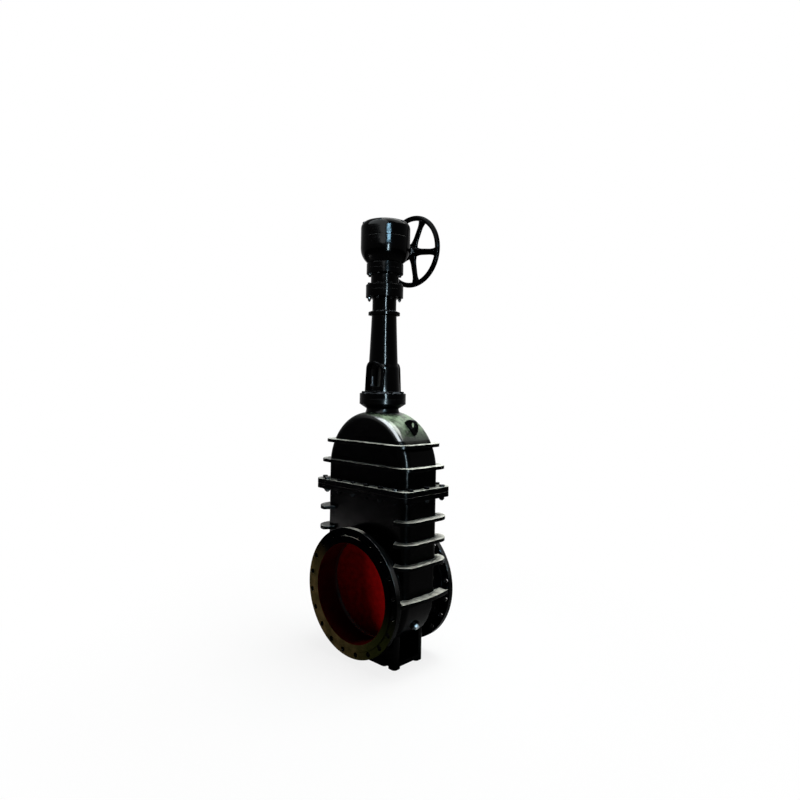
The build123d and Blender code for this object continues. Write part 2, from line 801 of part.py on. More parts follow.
wedge_gate.part.label = "wedge_gate"
export_step(wedge_gate.part, "parts/wedge_gate.step")

for plane, name in zip(seat_planes, ("gate_ring_inlet", "gate_ring_outlet")):
    with BuildPart() as gate_ring:
        with BuildSketch(plane.offset(-seat_gap / 2)):
            Circle(ring_outer_r)
            Circle(bore_r - gate_ring_lap, mode=Mode.SUBTRACT)
        extrude(amount=-gate_ring_t)
    gate_ring.part.label = name
    export_step(gate_ring.part, f"parts/{name}.step")

# Bronze nut in the gate's cross slot, with the pin that locks the stem in it
with BuildPart() as gate_nut:
    with BuildSketch(Plane.XY.offset(pocket_z + pocket_gap)):
        Rectangle(2 * (nut_pocket_x - pocket_gap), 2 * gate_hub_y)
        Circle(stem_tail_r, mode=Mode.SUBTRACT)
    extrude(amount=nut_pocket_h - 2 * pocket_gap)
    with BuildSketch(Plane.XZ):
        with Locations((0, pocket_z + nut_pocket_h / 2)):
            Circle(nut_pin_r)
    extrude(amount=gate_hub_y, both=True, mode=Mode.SUBTRACT)
gate_nut.part.label = "gate_nut"
export_step(gate_nut.part, "parts/gate_nut.step")

with BuildPart() as gate_nut_pin:
    with BuildSketch(Plane.XZ):
        with Locations((0, pocket_z + nut_pocket_h / 2)):
            Circle(nut_pin_r)
    extrude(amount=gate_hub_y, both=True)
gate_nut_pin.part.label = "gate_nut_pin"
export_step(gate_nut_pin.part, "parts/gate_nut_pin.step")

# Stem: stainless bar with a backseat collar; the upper part carries the thread
thread_z = gland_stud_top + thread_room
stem_top = drum_top - cover_wall - 2
collar_top = arch_inner_top - stroke - 2
with BuildPart() as stem:
    with BuildSketch(Plane.XZ):
        with BuildLine():
            Polyline(
                (0, pocket_z - gate_core_rim / 2),
                (stem_tail_r, pocket_z - gate_core_rim / 2),
                (stem_tail_r, pocket_z + nut_pocket_h),
                (stem_r, pocket_z + nut_pocket_h),
                (stem_r, collar_top - stem_collar_h),
                (stem_collar_r - stem_collar_h / 2, collar_top - stem_collar_h),
                (stem_collar_r, collar_top - stem_collar_h / 2),
                (stem_r, collar_top),
                (stem_r, thread_z - 2),
                (thread_r - 3, thread_z),
                (thread_r, thread_z + 3),
                (thread_r, stem_top - 4),
                (thread_r - 4, stem_top),
                (0, stem_top),
                close=True,
            )
        make_face()
    revolve(axis=Axis.Z)
    with BuildSketch(Plane.XZ):
        with Locations((0, pocket_z + nut_pocket_h / 2)):
            Circle(nut_pin_r)
    extrude(amount=gate_hub_y, both=True, mode=Mode.SUBTRACT)
stem.part.label = "stem"
export_step(stem.part, "parts/stem.step")

# Backseat bush, packing rings and gland
with BuildPart() as backseat_bush:
    with BuildSketch(Plane.XY.offset(arch_inner_top)):
        Circle(bush_r)
        Circle(stem_r + stem_fit, mode=Mode.SUBTRACT)
    extrude(amount=bush_h)
backseat_bush.part.label = "backseat_bush"
export_step(backseat_bush.part, "parts/backseat_bush.step")

with BuildPart() as stem_packing:
    for k in range(packing_rings):
        with BuildSketch(Plane.XY.offset(packing_floor + k * packing_h)):
            Circle(box_r)
            Circle(stem_r + stem_fit, mode=Mode.SUBTRACT)
        extrude(amount=packing_h - 0.2)
stem_packing.part.label = "stem_packing"
export_step(stem_packing.part, "parts/stem_packing.step")

with BuildPart() as gland:
    with BuildSketch(Plane.XY.offset(packing_top)):
        Circle(box_r - gland_nose_wall_gap)
    extrude(amount=gland_seat - packing_top)
    with BuildSketch(Plane.XY.offset(gland_seat)):
        Circle(gland_flange_r)
    extrude(amount=gland_flange_t)
    chamfer(gland.faces().sort_by(Axis.Z)[-1].edges(), length=2.5)
    with BuildSketch(Plane.XY.offset(packing_top)):
        Circle(stem_r + stem_fit)
    extrude(amount=gland_seat + gland_flange_t - packing_top, mode=Mode.SUBTRACT)
    with BuildSketch(Plane.XY.offset(gland_seat)):
        with PolarLocations(gland_stud_circle_r, gland_stud_count, 180 / gland_stud_count):
            Circle(gland_stud_r + hole_gap)
    extrude(amount=gland_flange_t, mode=Mode.SUBTRACT)
gland.part.label = "gland"
export_step(gland.part, "parts/gland.step")

with BuildPart() as gland_studs:
    with BuildSketch(Plane.XY.offset(box_top)):
        with PolarLocations(gland_stud_circle_r, gland_stud_count, 180 / gland_stud_count):
            Circle(gland_stud_r - 2)
    extrude(amount=-box_rise)
    with BuildSketch(Plane.XY.offset(box_top)):
        with PolarLocations(gland_stud_circle_r, gland_stud_count, 180 / gland_stud_count):
            Circle(gland_stud_r)
    extrude(amount=gland_stud_top - box_top)
gland_studs.part.label = "gland_studs"
export_step(gland_studs.part, "parts/gland_studs.step")

with BuildPart() as gland_nuts:
    with BuildSketch(Plane.XY.offset(gland_seat + gland_flange_t)):
        with PolarLocations(gland_stud_circle_r, gland_stud_count, 180 / gland_stud_count):
            RegularPolygon((hex_corner - 0.2) * gland_stud_r, 6)
            Circle(gland_stud_r, mode=Mode.SUBTRACT)
    extrude(amount=nut_h_factor * gland_stud_r)
gland_nuts.part.label = "gland_nuts"
export_step(gland_nuts.part, "parts/gland_nuts.step")

# Column: long hollow casting with two arched windows that let a spanner reach the gland
room_top = neck_top + room_h
spring_z = neck_top + window_spring
crown_z = spring_z + window_rise
sill_z = neck_top + window_sill
bead_top = column_top - column_bead_drop
with BuildPart() as column:
    # raised frames round the windows, trimmed to stand a little proud of the wall
    with BuildSketch(Plane.XZ):
        frame_x = window_x + window_frame
        with BuildLine():
            Line((-frame_x, spring_z), (-frame_x, sill_z - window_frame))
            Line((-frame_x, sill_z - window_frame), (frame_x, sill_z - window_frame))
            Line((frame_x, sill_z - window_frame), (frame_x, spring_z))
            ThreePointArc((frame_x, spring_z), (0, crown_z + window_frame), (-frame_x, spring_z))
        make_face()
    extrude(amount=column_shoulder_r + 2 * window_frame_out, both=True)
    with BuildSketch(Plane.XZ):
        with BuildLine():
            Polyline(
                (0, neck_top),
                (column_shoulder_r + window_frame_out, neck_top),
                (column_room_r + window_frame_out, room_top),
                (column_room_r, crown_z + 2 * window_frame),
                (0, crown_z + 2 * window_frame),
                close=True,
            )
        make_face()
    revolve(axis=Axis.Z, mode=Mode.INTERSECT)
    with BuildSketch(Plane.XZ):
        with BuildLine():
            Polyline(
                (0, neck_top),
                (neck_flange_r, neck_top),
                (neck_flange_r, neck_top + column_foot_t),
                (column_shoulder_r, neck_top + column_foot_t + column_foot_slope),
                (column_room_r, room_top),
                (column_root_r, room_top + column_step_h),
            )
            Spline(
                (column_root_r, room_top + column_step_h),
                (0.55 * column_root_r + 0.45 * column_neck_r, (room_top + bead_top) / 2),
                (column_neck_r + 3, bead_top - column_bead_h),
            )
            Polyline(
                (column_neck_r + 3, bead_top - column_bead_h),
                (column_bead_r, bead_top - column_bead_h + 3),
                (column_bead_r, bead_top - 3),
                (column_neck_r, bead_top + 8),
                (column_neck_r, column_top - column_flange_t),
                (column_flange_r, column_top - column_flange_t + edge_ease),
                (column_flange_r, column_top),
                (0, column_top),
                (0, neck_top),
            )
        make_face()
    revolve(axis=Axis.Z)
    # bore: wide round the gland, narrow above it
    with BuildSketch(Plane.XZ):
        with BuildLine():
            Polyline(
                (0, neck_top),
                (column_bore_r, neck_top),
                (column_bore_r, room_top - 6),
                (column_neck_bore_r, room_top + bore_taper_h),
                (column_neck_bore_r, column_top),
                (0, column_top),
                close=True,
            )
        make_face()
    revolve(axis=Axis.Z, mode=Mode.SUBTRACT)
    with BuildSketch(Plane.XZ):
        with BuildLine():
            Line((-window_x, spring_z), (-window_x, sill_z))
            Line((-window_x, sill_z), (window_x, sill_z))
            Line((window_x, sill_z), (window_x, spring_z))
            ThreePointArc((window_x, spring_z), (0, crown_z), (-window_x, spring_z))
        make_face()
    extrude(amount=neck_flange_r, both=True, mode=Mode.SUBTRACT)
    with BuildSketch(Plane.XY.offset(neck_top)):
        with PolarLocations(column_bolt_circle_r, column_bolt_count, 180 / column_bolt_count):
            Circle(column_bolt_r + hole_gap)
    extrude(amount=column_foot_t, mode=Mode.SUBTRACT)
    # flat seats for the nuts, cut into the sloping foot
    with BuildSketch(Plane.XY.offset(neck_top + column_foot_t)):
        with PolarLocations(column_bolt_circle_r, column_bolt_count, 180 / column_bolt_count):
            Circle(hex_corner * column_bolt_r + hole_gap)
    extrude(amount=column_foot_t, mode=Mode.SUBTRACT)
    with BuildSketch(Plane.XY.offset(column_top)):
        with PolarLocations(spool_low_circle_r, spool_bolt_count, spool_start):
            Circle(spool_bolt_r + hole_gap)
    extrude(amount=-column_flange_t, mode=Mode.SUBTRACT)
column.part.label = "column"
export_step(column.part, "parts/column.step")

# Studs and nuts that hold the column down on the bonnet
with BuildPart() as column_studs:
    with BuildSketch(Plane.XY.offset(neck_top - neck_flange_t + bolt_end)):
        with PolarLocations(column_bolt_circle_r, column_bolt_count, 180 / column_bolt_count):
            Circle(column_bolt_r)
    extrude(amount=neck_flange_t + column_foot_t + nut_h_factor * column_bolt_r)
column_studs.part.label = "column_studs"
export_step(column_studs.part, "parts/column_studs.step")

with BuildPart() as column_nuts:
    with BuildSketch(Plane.XY.offset(neck_top + column_foot_t)):
        with PolarLocations(column_bolt_circle_r, column_bolt_count, 180 / column_bolt_count):
            RegularPolygon(hex_corner * column_bolt_r, 6)
            Circle(column_bolt_r, mode=Mode.SUBTRACT)
    extrude(amount=nut_h_factor * column_bolt_r)
column_nuts.part.label = "column_nuts"
export_step(column_nuts.part, "parts/column_nuts.step")

# Spool: short flanged piece that the gearbox is screwed to
with BuildPart() as spool:
    with BuildSketch(Plane.XZ):
        with BuildLine():
            Polyline(
                (column_neck_bore_r, column_top),
                (column_flange_r, column_top),
                (column_flange_r, column_top + spool_flange_t - edge_ease),
                (column_flange_r - edge_ease, column_top + spool_flange_t),
                (spool_neck_r + edge_ease, column_top + spool_flange_t),
                (spool_neck_r, column_top + spool_flange_t + edge_ease),
                (spool_neck_r, gearbox_z - spool_flange_t - edge_ease),
                (spool_neck_r + edge_ease, gearbox_z - spool_flange_t),
                (spool_top_flange_r - edge_ease, gearbox_z - spool_flange_t),
                (spool_top_flange_r, gearbox_z - spool_flange_t + edge_ease),
                (spool_top_flange_r, gearbox_z),
                (column_neck_bore_r, gearbox_z),
                close=True,
            )
        make_face()
    revolve(axis=Axis.Z)
    with BuildSketch(Plane.XY.offset(column_top)):
        with PolarLocations(spool_low_circle_r, spool_bolt_count, spool_start):
            Circle(spool_bolt_r + hole_gap)
    extrude(amount=spool_flange_t, mode=Mode.SUBTRACT)
    with BuildSketch(Plane.XY.offset(gearbox_z)):
        with PolarLocations(spool_top_circle_r, spool_bolt_count, spool_start):
            Circle(spool_bolt_r + hole_gap)
    extrude(amount=-spool_flange_t, mode=Mode.SUBTRACT)
spool.part.label = "spool"
export_step(spool.part, "parts/spool.step")

with BuildPart() as spool_bolts:
    with BuildSketch(Plane.XY.offset(column_top + spool_flange_t)):
        with PolarLocations(spool_low_circle_r, spool_bolt_count, spool_start):
            RegularPolygon(hex_corner * spool_bolt_r, 6)
    extrude(amount=head_h_factor * spool_bolt_r)
    with BuildSketch(Plane.XY.offset(column_top + spool_flange_t)):
        with PolarLocations(spool_low_circle_r, spool_bolt_count, spool_start):
            Circle(spool_bolt_r)
    extrude(amount=-(spool_flange_t + column_flange_t + nut_h_factor * spool_bolt_r + bolt_end))
spool_bolts.part.label = "spool_bolts"
export_step(spool_bolts.part, "parts/spool_bolts.step")

with BuildPart() as spool_nuts:
    with BuildSketch(Plane.XY.offset(column_top - column_flange_t)):
        with PolarLocations(spool_low_circle_r, spool_bolt_count, spool_start):
            RegularPolygon(hex_corner * spool_bolt_r, 6)
            Circle(spool_bolt_r, mode=Mode.SUBTRACT)
    extrude(amount=-nut_h_factor * spool_bolt_r)
spool_nuts.part.label = "spool_nuts"
export_step(spool_nuts.part, "parts/spool_nuts.step")

with BuildPart() as gearbox_screws:
    with BuildSketch(Plane.XY.offset(gearbox_z - spool_flange_t)):
        with PolarLocations(spool_top_circle_r, spool_bolt_count, spool_start):
            RegularPolygon(hex_corner * spool_bolt_r, 6)
    extrude(amount=-head_h_factor * spool_bolt_r)
    with BuildSketch(Plane.XY.offset(gearbox_z - spool_flange_t)):
        with PolarLocations(spool_top_circle_r, spool_bolt_count, spool_start):
            Circle(spool_bolt_r)
    extrude(amount=spool_flange_t + housing_foot_t - bolt_end)
gearbox_screws.part.label = "gearbox_screws"
export_step(gearbox_screws.part, "parts/gearbox_screws.step")

# Gearbox housing: flanged bowl with the pinion boss on its side
pinion_plane = Plane(origin=(0, 0, apex_z), x_dir=(0, 0, -1), z_dir=(0, 1, 0))
with BuildPart() as gearbox_housing:
    foot_top = gearbox_z + housing_foot_t
    with BuildSketch(Plane.XZ):
        with BuildLine():
            Polyline(
                (0, gearbox_z),
                (housing_foot_r, gearbox_z),
                (housing_foot_r, foot_top - edge_ease),
                (housing_foot_r - edge_ease, foot_top),
                (bowl_root_r, foot_top),
            )
            Spline((bowl_root_r, foot_top), (drum_r, rim_z), tangents=((1, 0.9), (0, 1)))
            Polyline((drum_r, rim_z), (drum_r, split_z), (0, split_z), (0, gearbox_z))
        make_face()
    revolve(axis=Axis.Z)
    with BuildSketch(pinion_plane.offset(drum_inner_r - 2 * drum_wall)):
        Circle(boss_r)
    extrude(amount=boss_face_y - drum_inner_r + 2 * drum_wall)
    with BuildSketch(pinion_plane.offset(boss_pad_y)):
        Circle(cartridge_flange_r)
    extrude(amount=boss_face_y - boss_pad_y)
    # inside of the bowl
    with BuildSketch(Plane.XZ):
        with BuildLine():
            Line((0, lower_bearing_z), (bowl_root_r - drum_wall, lower_bearing_z))
            Spline(
                (bowl_root_r - drum_wall, lower_bearing_z),
                (drum_inner_r, rim_z),
                tangents=((1, 0.6), (0, 1)),
            )
            Polyline(
                (drum_inner_r, rim_z), (drum_inner_r, split_z), (0, split_z), (0, lower_bearing_z)
            )
        make_face()
    revolve(axis=Axis.Z, mode=Mode.SUBTRACT)
    # lugs for the cover screws
    with BuildSketch(Plane.XY.offset(split_z)):
        with PolarLocations(cover_lug_circle_r, cover_screw_count):
            Circle(cover_lug_r)
    extrude(amount=-cover_lug_drop)
    with BuildSketch(Plane.XY.offset(split_z)):
        with PolarLocations(cover_lug_circle_r, cover_screw_count):
            Circle(cover_screw_r)
    extrude(amount=-cover_lug_drop + bolt_end, mode=Mode.SUBTRACT)
    # way through for the stem, and the bore that steadies the nut
    with BuildSketch(Plane.XY.offset(gearbox_z)):
        Circle(column_neck_bore_r)
    extrude(amount=housing_foot_t, mode=Mode.SUBTRACT)
    with BuildSketch(Plane.XY.offset(foot_top)):
        Circle(nut_journal_r + journal_gap)
    extrude(amount=lower_bearing_z - foot_top, mode=Mode.SUBTRACT)
    with BuildSketch(Plane.XY.offset(gearbox_z)):
        with PolarLocations(spool_top_circle_r, spool_bolt_count, spool_start):
            Circle(spool_bolt_r)
    extrude(amount=housing_foot_t - bolt_end, mode=Mode.SUBTRACT)
    # bore and screw holes for the pinion cartridge
    with BuildSketch(pinion_plane.offset(drum_inner_r - 3 * drum_wall)):
        Circle(cartridge_r)
    extrude(amount=boss_face_y - drum_inner_r + 3 * drum_wall, mode=Mode.SUBTRACT)
    with BuildSketch(pinion_plane.offset(boss_face_y)):
        with PolarLocations(cartridge_screw_circle_r, cartridge_screw_count, 45):
            Circle(cartridge_screw_r)
    extrude(amount=boss_pad_y - boss_face_y + 2, mode=Mode.SUBTRACT)
gearbox_housing.part.label = "gearbox_housing"
export_step(gearbox_housing.part, "parts/gearbox_housing.step")

# Gearbox cover: domed lid with a hole for the rising stem
seal_z = drum_top - seal_t
screw_seat_z = drum_top - cover_wall - cover_screw_sink
with BuildPart() as gearbox_cover:
    with BuildSketch(Plane.XZ):
        with BuildLine():
            Polyline(
                (0, split_z),
                (drum_r, split_z),
                (drum_r, drum_top - drum_edge_r),
            )
            RadiusArc(
                (drum_r, drum_top - drum_edge_r),
                (drum_r - drum_edge_r, drum_top),
                -drum_edge_r,
            )
            Polyline((drum_r - drum_edge_r, drum_top), (0, drum_top), (0, split_z))
        make_face()
    revolve(axis=Axis.Z)
    with BuildSketch(Plane.XZ):
        inner_edge_r = drum_edge_r - drum_wall
        with BuildLine():
            Polyline(
                (0, split_z),
                (drum_inner_r, split_z),
                (drum_inner_r, drum_top - cover_wall - inner_edge_r),
            )
            RadiusArc(
                (drum_inner_r, drum_top - cover_wall - inner_edge_r),
                (drum_inner_r - inner_edge_r, drum_top - cover_wall),
                -inner_edge_r,
            )
            Polyline(
                (drum_inner_r - inner_edge_r, drum_top - cover_wall),
                (race_outer_r + race_t, drum_top - cover_wall),
                (race_outer_r + race_t, upper_bearing_top),
                (0, upper_bearing_top),
                (0, split_z),
            )
        make_face()
    revolve(axis=Axis.Z, mode=Mode.SUBTRACT)
    with BuildSketch(Plane.XY.offset(split_z)):
        with PolarLocations(cover_lug_circle_r, cover_screw_count):
            Circle(cover_lug_r)
    extrude(amount=drum_top - split_z - cover_wall)
    with BuildSketch(Plane.XY.offset(upper_bearing_top)):
        Circle(nut_journal_r + journal_gap)
    extrude(amount=drum_top - cover_wall - upper_bearing_top, mode=Mode.SUBTRACT)
    with BuildSketch(Plane.XY.offset(seal_z)):
        Circle(stem_r + seal_wall)
    extrude(amount=seal_t, mode=Mode.SUBTRACT)
    with BuildSketch(Plane.XY.offset(drum_top - cover_wall)):
        Circle(stem_r + 2)
    extrude(amount=cover_wall, mode=Mode.SUBTRACT)
    with BuildSketch(Plane.XY.offset(split_z)):
        with PolarLocations(cover_lug_circle_r, cover_screw_count):
            Circle(cover_screw_r + hole_gap)
    extrude(amount=drum_top - split_z, mode=Mode.SUBTRACT)
    with BuildSketch(Plane.XY.offset(screw_seat_z)):
        with PolarLocations(cover_lug_circle_r, cover_screw_count):
            Circle(hex_corner * cover_screw_r + hole_gap)
    extrude(amount=2 * cover_wall, mode=Mode.SUBTRACT)
gearbox_cover.part.label = "gearbox_cover"
export_step(gearbox_cover.part, "parts/gearbox_cover.step")

with BuildPart() as cover_screws:
    with BuildSketch(Plane.XY.offset(screw_seat_z)):
        with PolarLocations(cover_lug_circle_r, cover_screw_count):
            RegularPolygon(hex_corner * cover_screw_r, 6)
    extrude(amount=head_h_factor * cover_screw_r)
    with BuildSketch(Plane.XY.offset(screw_seat_z)):
        with PolarLocations(cover_lug_circle_r, cover_screw_count):
            Circle(cover_screw_r)
    extrude(amount=split_z - screw_seat_z - cover_lug_drop + bolt_end)
cover_screws.part.label = "cover_screws"
export_step(cover_screws.part, "parts/cover_screws.step")

with BuildPart() as stem_scraper:
    with BuildSketch(Plane.XY.offset(seal_z)):
        Circle(stem_r + seal_wall)
        Circle(stem_r + stem_fit, mode=Mode.SUBTRACT)
    extrude(amount=seal_t)
stem_scraper.part.label = "stem_scraper"
export_step(stem_scraper.part, "parts/stem_scraper.step")

# Stem nut: bronze sleeve that turns between two thrust bearings and draws the stem up
gear_key_top = apex_z - gear_pitch_r / 6
with BuildPart() as stem_nut:
    with BuildSketch(Plane.XZ):
        with BuildLine():
            Polyline(
                (thread_r + thread_fit, lower_bearing_z - nut_tail),
                (nut_journal_r, lower_bearing_z - nut_tail),
                (nut_journal_r, nut_collar_z),
                (nut_collar_r, nut_collar_z),
                (nut_collar_r, gear_seat_z),
                (nut_r, gear_seat_z),
                (nut_r, upper_bearing_z),
                (nut_journal_r, upper_bearing_z),
                (nut_journal_r, upper_bearing_top + nut_tail),
                (thread_r + thread_fit, upper_bearing_top + nut_tail),
                close=True,
            )
        make_face()
    revolve(axis=Axis.Z)
    with BuildSketch(Plane.XY.offset(gear_seat_z)):
        with Locations((-nut_r, 0)):
            Rectangle(key_h, key_w)
    extrude(amount=gear_key_top - gear_seat_z, mode=Mode.SUBTRACT)
stem_nut.part.label = "stem_nut"
export_step(stem_nut.part, "parts/stem_nut.step")

with BuildPart() as gear_key:
    with BuildSketch(Plane.XY.offset(gear_seat_z)):
        with Locations((-nut_r, 0)):
            Rectangle(key_h, key_w)
    extrude(amount=gear_key_top - gear_seat_z)
gear_key.part.label = "gear_key"
export_step(gear_key.part, "parts/gear_key.step")

# Roller thrust bearings: a fixed race, a ring of rollers and a race that turns with the nut
for low_z, flipped, name in (
    (lower_bearing_z, False, "lower"),
    (upper_bearing_z, True, "upper"),
):
    fixed_z = low_z + bearing_h - race_t if flipped else low_z
    turning_z = low_z if flipped else low_z + bearing_h - race_t
    with BuildPart() as fixed_race:
        with BuildSketch(Plane.XY.offset(fixed_z)):
            Circle(race_outer_r)
            Circle(nut_journal_r + 2 * journal_gap, mode=Mode.SUBTRACT)
        extrude(amount=race_t)
    fixed_race.part.label = f"{name}_fixed_race"
    export_step(fixed_race.part, f"parts/{name}_fixed_race.step")
    with BuildPart() as turning_race:
        with BuildSketch(Plane.XY.offset(turning_z)):
            Circle(race_outer_r - 1)
            Circle(nut_journal_r, mode=Mode.SUBTRACT)
        extrude(amount=race_t)
    turning_race.part.label = f"{name}_turning_race"
    export_step(turning_race.part, f"parts/{name}_turning_race.step")
    with BuildPart() as rollers:
        roller_mid_r = (nut_journal_r + race_outer_r) / 2
        with PolarLocations(roller_mid_r, roller_count):
            with Locations((0, 0, low_z + bearing_h / 2)):
                Cylinder(roller_r, roller_length, rotation=(0, 90, 0))
    rollers.part.label = f"{name}_rollers"
    export_step(rollers.part, f"parts/{name}_rollers.step")


def involute(angle):
    """Involute function of a pressure angle."""
    return math.tan(angle) - angle


def bevel_tooth(pitch_r, mate_pitch_r, addendum, dedendum):
    """One straight bevel tooth on local X, with the cone apex at the origin and the axis on Z."""
    cone = math.atan2(pitch_r, mate_pitch_r)
    back_r = pitch_r / math.cos(cone)
    base_r = back_r * math.cos(pressure_angle)
    half_angle = (math.pi * gear_module / 2 - backlash / 2) / (2 * back_r)
    flank = []
    low_r = max(base_r, back_r - dedendum)
    for k in range(5):
        r = low_r + (back_r + addendum - low_r) * k / 4
        spread = half_angle + involute(pressure_angle) - involute(math.acos(base_r / r))
        flank.append((r * math.sin(spread), r * math.cos(spread) - back_r))
    foot = (back_r - dedendum - 1) / low_r
    flank.insert(0, (flank[0][0] * foot, (flank[0][1] + back_r) * foot - back_r))
    outline = flank + [(-x, y) for x, y in reversed(flank)]
    shrink = (cone_distance - face_width) / cone_distance
    tooth_plane = Plane(
        origin=(pitch_r, 0, mate_pitch_r),
        x_dir=(0, 1, 0),
        z_dir=(-math.sin(cone), 0, -math.cos(cone)),
    )
    with BuildPart() as tooth:
        with BuildSketch(tooth_plane):
            with BuildLine():
                Polyline(*outline, close=True)
            make_face()
        with BuildSketch(tooth_plane.offset(face_width)):
            with BuildLine():
                Polyline(*[(x * shrink, y * shrink) for x, y in outline], close=True)
            make_face()
        loft(ruled=True)
    return tooth.part


def cone_point(pitch_r, mate_pitch_r, height, shrink):
    """Radius and axial place of a point above (+) or below (-) the pitch cone's outer edge."""
    cone = math.atan2(pitch_r, mate_pitch_r)
    r = (pitch_r + height * math.cos(cone)) * shrink
    z = (mate_pitch_r - height * math.sin(cone)) * shrink
    return r, z


tooth_shrink = (cone_distance - face_width) / cone_distance
gear_dedendum = pinion_addendum + root_clearance
pinion_dedendum = gear_addendum + root_clearance

# Bevel gear: iron wheel keyed on the stem nut, teeth upward
gear_plane = Plane(origin=(0, 0, apex_z), x_dir=(0, 1, 0), z_dir=(0, 0, -1))
gear_tooth = bevel_tooth(gear_pitch_r, pinion_pitch_r, gear_addendum, gear_dedendum)
gear_back = apex_z - gear_seat_z
with BuildPart() as gear_shape:
    with BuildSketch(Plane.XZ):
        outer_root = cone_point(gear_pitch_r, pinion_pitch_r, -gear_dedendum, 1)
        inner_root = cone_point(gear_pitch_r, pinion_pitch_r, -gear_dedendum, tooth_shrink)
        rim_back = cone_point(gear_pitch_r, pinion_pitch_r, -gear_dedendum - key_h, 1)
        with BuildLine():
            Polyline(
                (nut_r, inner_root[1] - 6),
                (nut_r + 16, inner_root[1] - 6),
                inner_root,
                outer_root,
                rim_back,
                (nut_collar_r + 10, gear_back),
                (nut_r, gear_back),
                close=True,
            )
        make_face()
    revolve(axis=Axis.Z)
    with PolarLocations(0, gear_teeth, 180 / gear_teeth):
        add(gear_tooth)
with BuildPart() as bevel_gear:
    with Locations(gear_plane):
        add(gear_shape.part)
    with BuildSketch(Plane.XY.offset(gear_seat_z)):
        with Locations((-nut_r, 0)):
            Rectangle(key_h, key_w)
    extrude(amount=gear_back, mode=Mode.SUBTRACT)
bevel_gear.part.label = "bevel_gear"
export_step(bevel_gear.part, "parts/bevel_gear.step")

# Bevel pinion: steel, keyed on the shaft
pinion_tooth = bevel_tooth(pinion_pitch_r, gear_pitch_r, pinion_addendum, pinion_dedendum)
pinion_back_y = gear_pitch_r + pinion_back_t
pinion_front_y = gear_pitch_r * tooth_shrink - 4
with BuildPart() as pinion_shape:
    with BuildSketch(Plane.XZ):
        outer_root = cone_point(pinion_pitch_r, gear_pitch_r, -pinion_dedendum, 1)
        inner_root = cone_point(pinion_pitch_r, gear_pitch_r, -pinion_dedendum, tooth_shrink)
        with BuildLine():
            Polyline(
                (shaft_r, pinion_front_y),
                (inner_root[0] - 2, pinion_front_y),
                inner_root,
                outer_root,
                (outer_root[0] - 5, pinion_back_y),
                (shaft_r, pinion_back_y),
                close=True,
            )
        make_face()
    revolve(axis=Axis.Z)
    with PolarLocations(0, pinion_teeth):
        add(pinion_tooth)
with BuildPart() as bevel_pinion:
    with Locations(pinion_plane):
        add(pinion_shape.part)
    with BuildSketch(pinion_plane.offset(pinion_front_y)):
        with Locations((-shaft_r, 0)):
            Rectangle(key_h / 2, key_w)
    extrude(amount=pinion_back_y - pinion_front_y, mode=Mode.SUBTRACT)
bevel_pinion.part.label = "bevel_pinion"
export_step(bevel_pinion.part, "parts/bevel_pinion.step")

# Pinion shaft with seats for two keys and a threaded end
hub_inner_y = wheel_y - wheel_hub_h / 2
hub_outer_y = wheel_y + wheel_hub_h / 2
shaft_end_y = hub_outer_y + washer_t + wheel_nut_h + shaft_end
shaft_thread_r = wheel_nut_r / hex_corner
with BuildPart() as pinion_shaft:
    with BuildSketch(pinion_plane.offset(shaft_inner_y)):
        Circle(shaft_r)
    extrude(amount=hub_outer_y - shaft_inner_y)
    with BuildSketch(pinion_plane.offset(hub_outer_y)):
        Circle(shaft_thread_r)
    extrude(amount=shaft_end_y - hub_outer_y)
    for start_y, end_y in ((pinion_front_y, pinion_back_y), (hub_inner_y, hub_outer_y)):
        with BuildSketch(pinion_plane.offset(start_y)):
            with Locations((-shaft_r, 0)):
                Rectangle(key_h / 2, key_w)
        extrude(amount=end_y - start_y, mode=Mode.SUBTRACT)
pinion_shaft.part.label = "pinion_shaft"
export_step(pinion_shaft.part, "parts/pinion_shaft.step")

for start_y, end_y, name in (
    (pinion_front_y, pinion_back_y, "pinion_key"),
    (hub_inner_y, hub_outer_y, "wheel_key"),
):
    with BuildPart() as key:
        with BuildSketch(pinion_plane.offset(start_y)):
            with Locations((-shaft_r, 0)):
                Rectangle(key_h / 2, key_w)
        extrude(amount=end_y - start_y)
    key.part.label = name
    export_step(key.part, f"parts/{name}.step")

# Cartridge that carries the shaft in two bronze bushes
outer_bush_y = cartridge_nose_y - shaft_seal_t - bush_length
with BuildPart() as pinion_cartridge:
    with BuildSketch(pinion_plane.offset(cartridge_inner_y)):
        Circle(cartridge_r)
    extrude(amount=cartridge_nose_y - cartridge_inner_y)
    with BuildSketch(pinion_plane.offset(boss_face_y)):
        Circle(cartridge_flange_r)
    extrude(amount=cartridge_flange_t)
    with BuildSketch(pinion_plane.offset(cartridge_inner_y)):
        Circle(shaft_r + 2)
    extrude(amount=cartridge_nose_y - cartridge_inner_y, mode=Mode.SUBTRACT)
    for start_y, length in (
        (cartridge_inner_y, bush_length),
        (outer_bush_y, cartridge_nose_y - outer_bush_y),
    ):
        with BuildSketch(pinion_plane.offset(start_y)):
            Circle(shaft_r + bush_wall)
        extrude(amount=length, mode=Mode.SUBTRACT)
    with BuildSketch(pinion_plane.offset(boss_face_y)):
        with PolarLocations(cartridge_screw_circle_r, cartridge_screw_count, 45):
            Circle(cartridge_screw_r + hole_gap)
    extrude(amount=cartridge_flange_t, mode=Mode.SUBTRACT)
pinion_cartridge.part.label = "pinion_cartridge"
export_step(pinion_cartridge.part, "parts/pinion_cartridge.step")

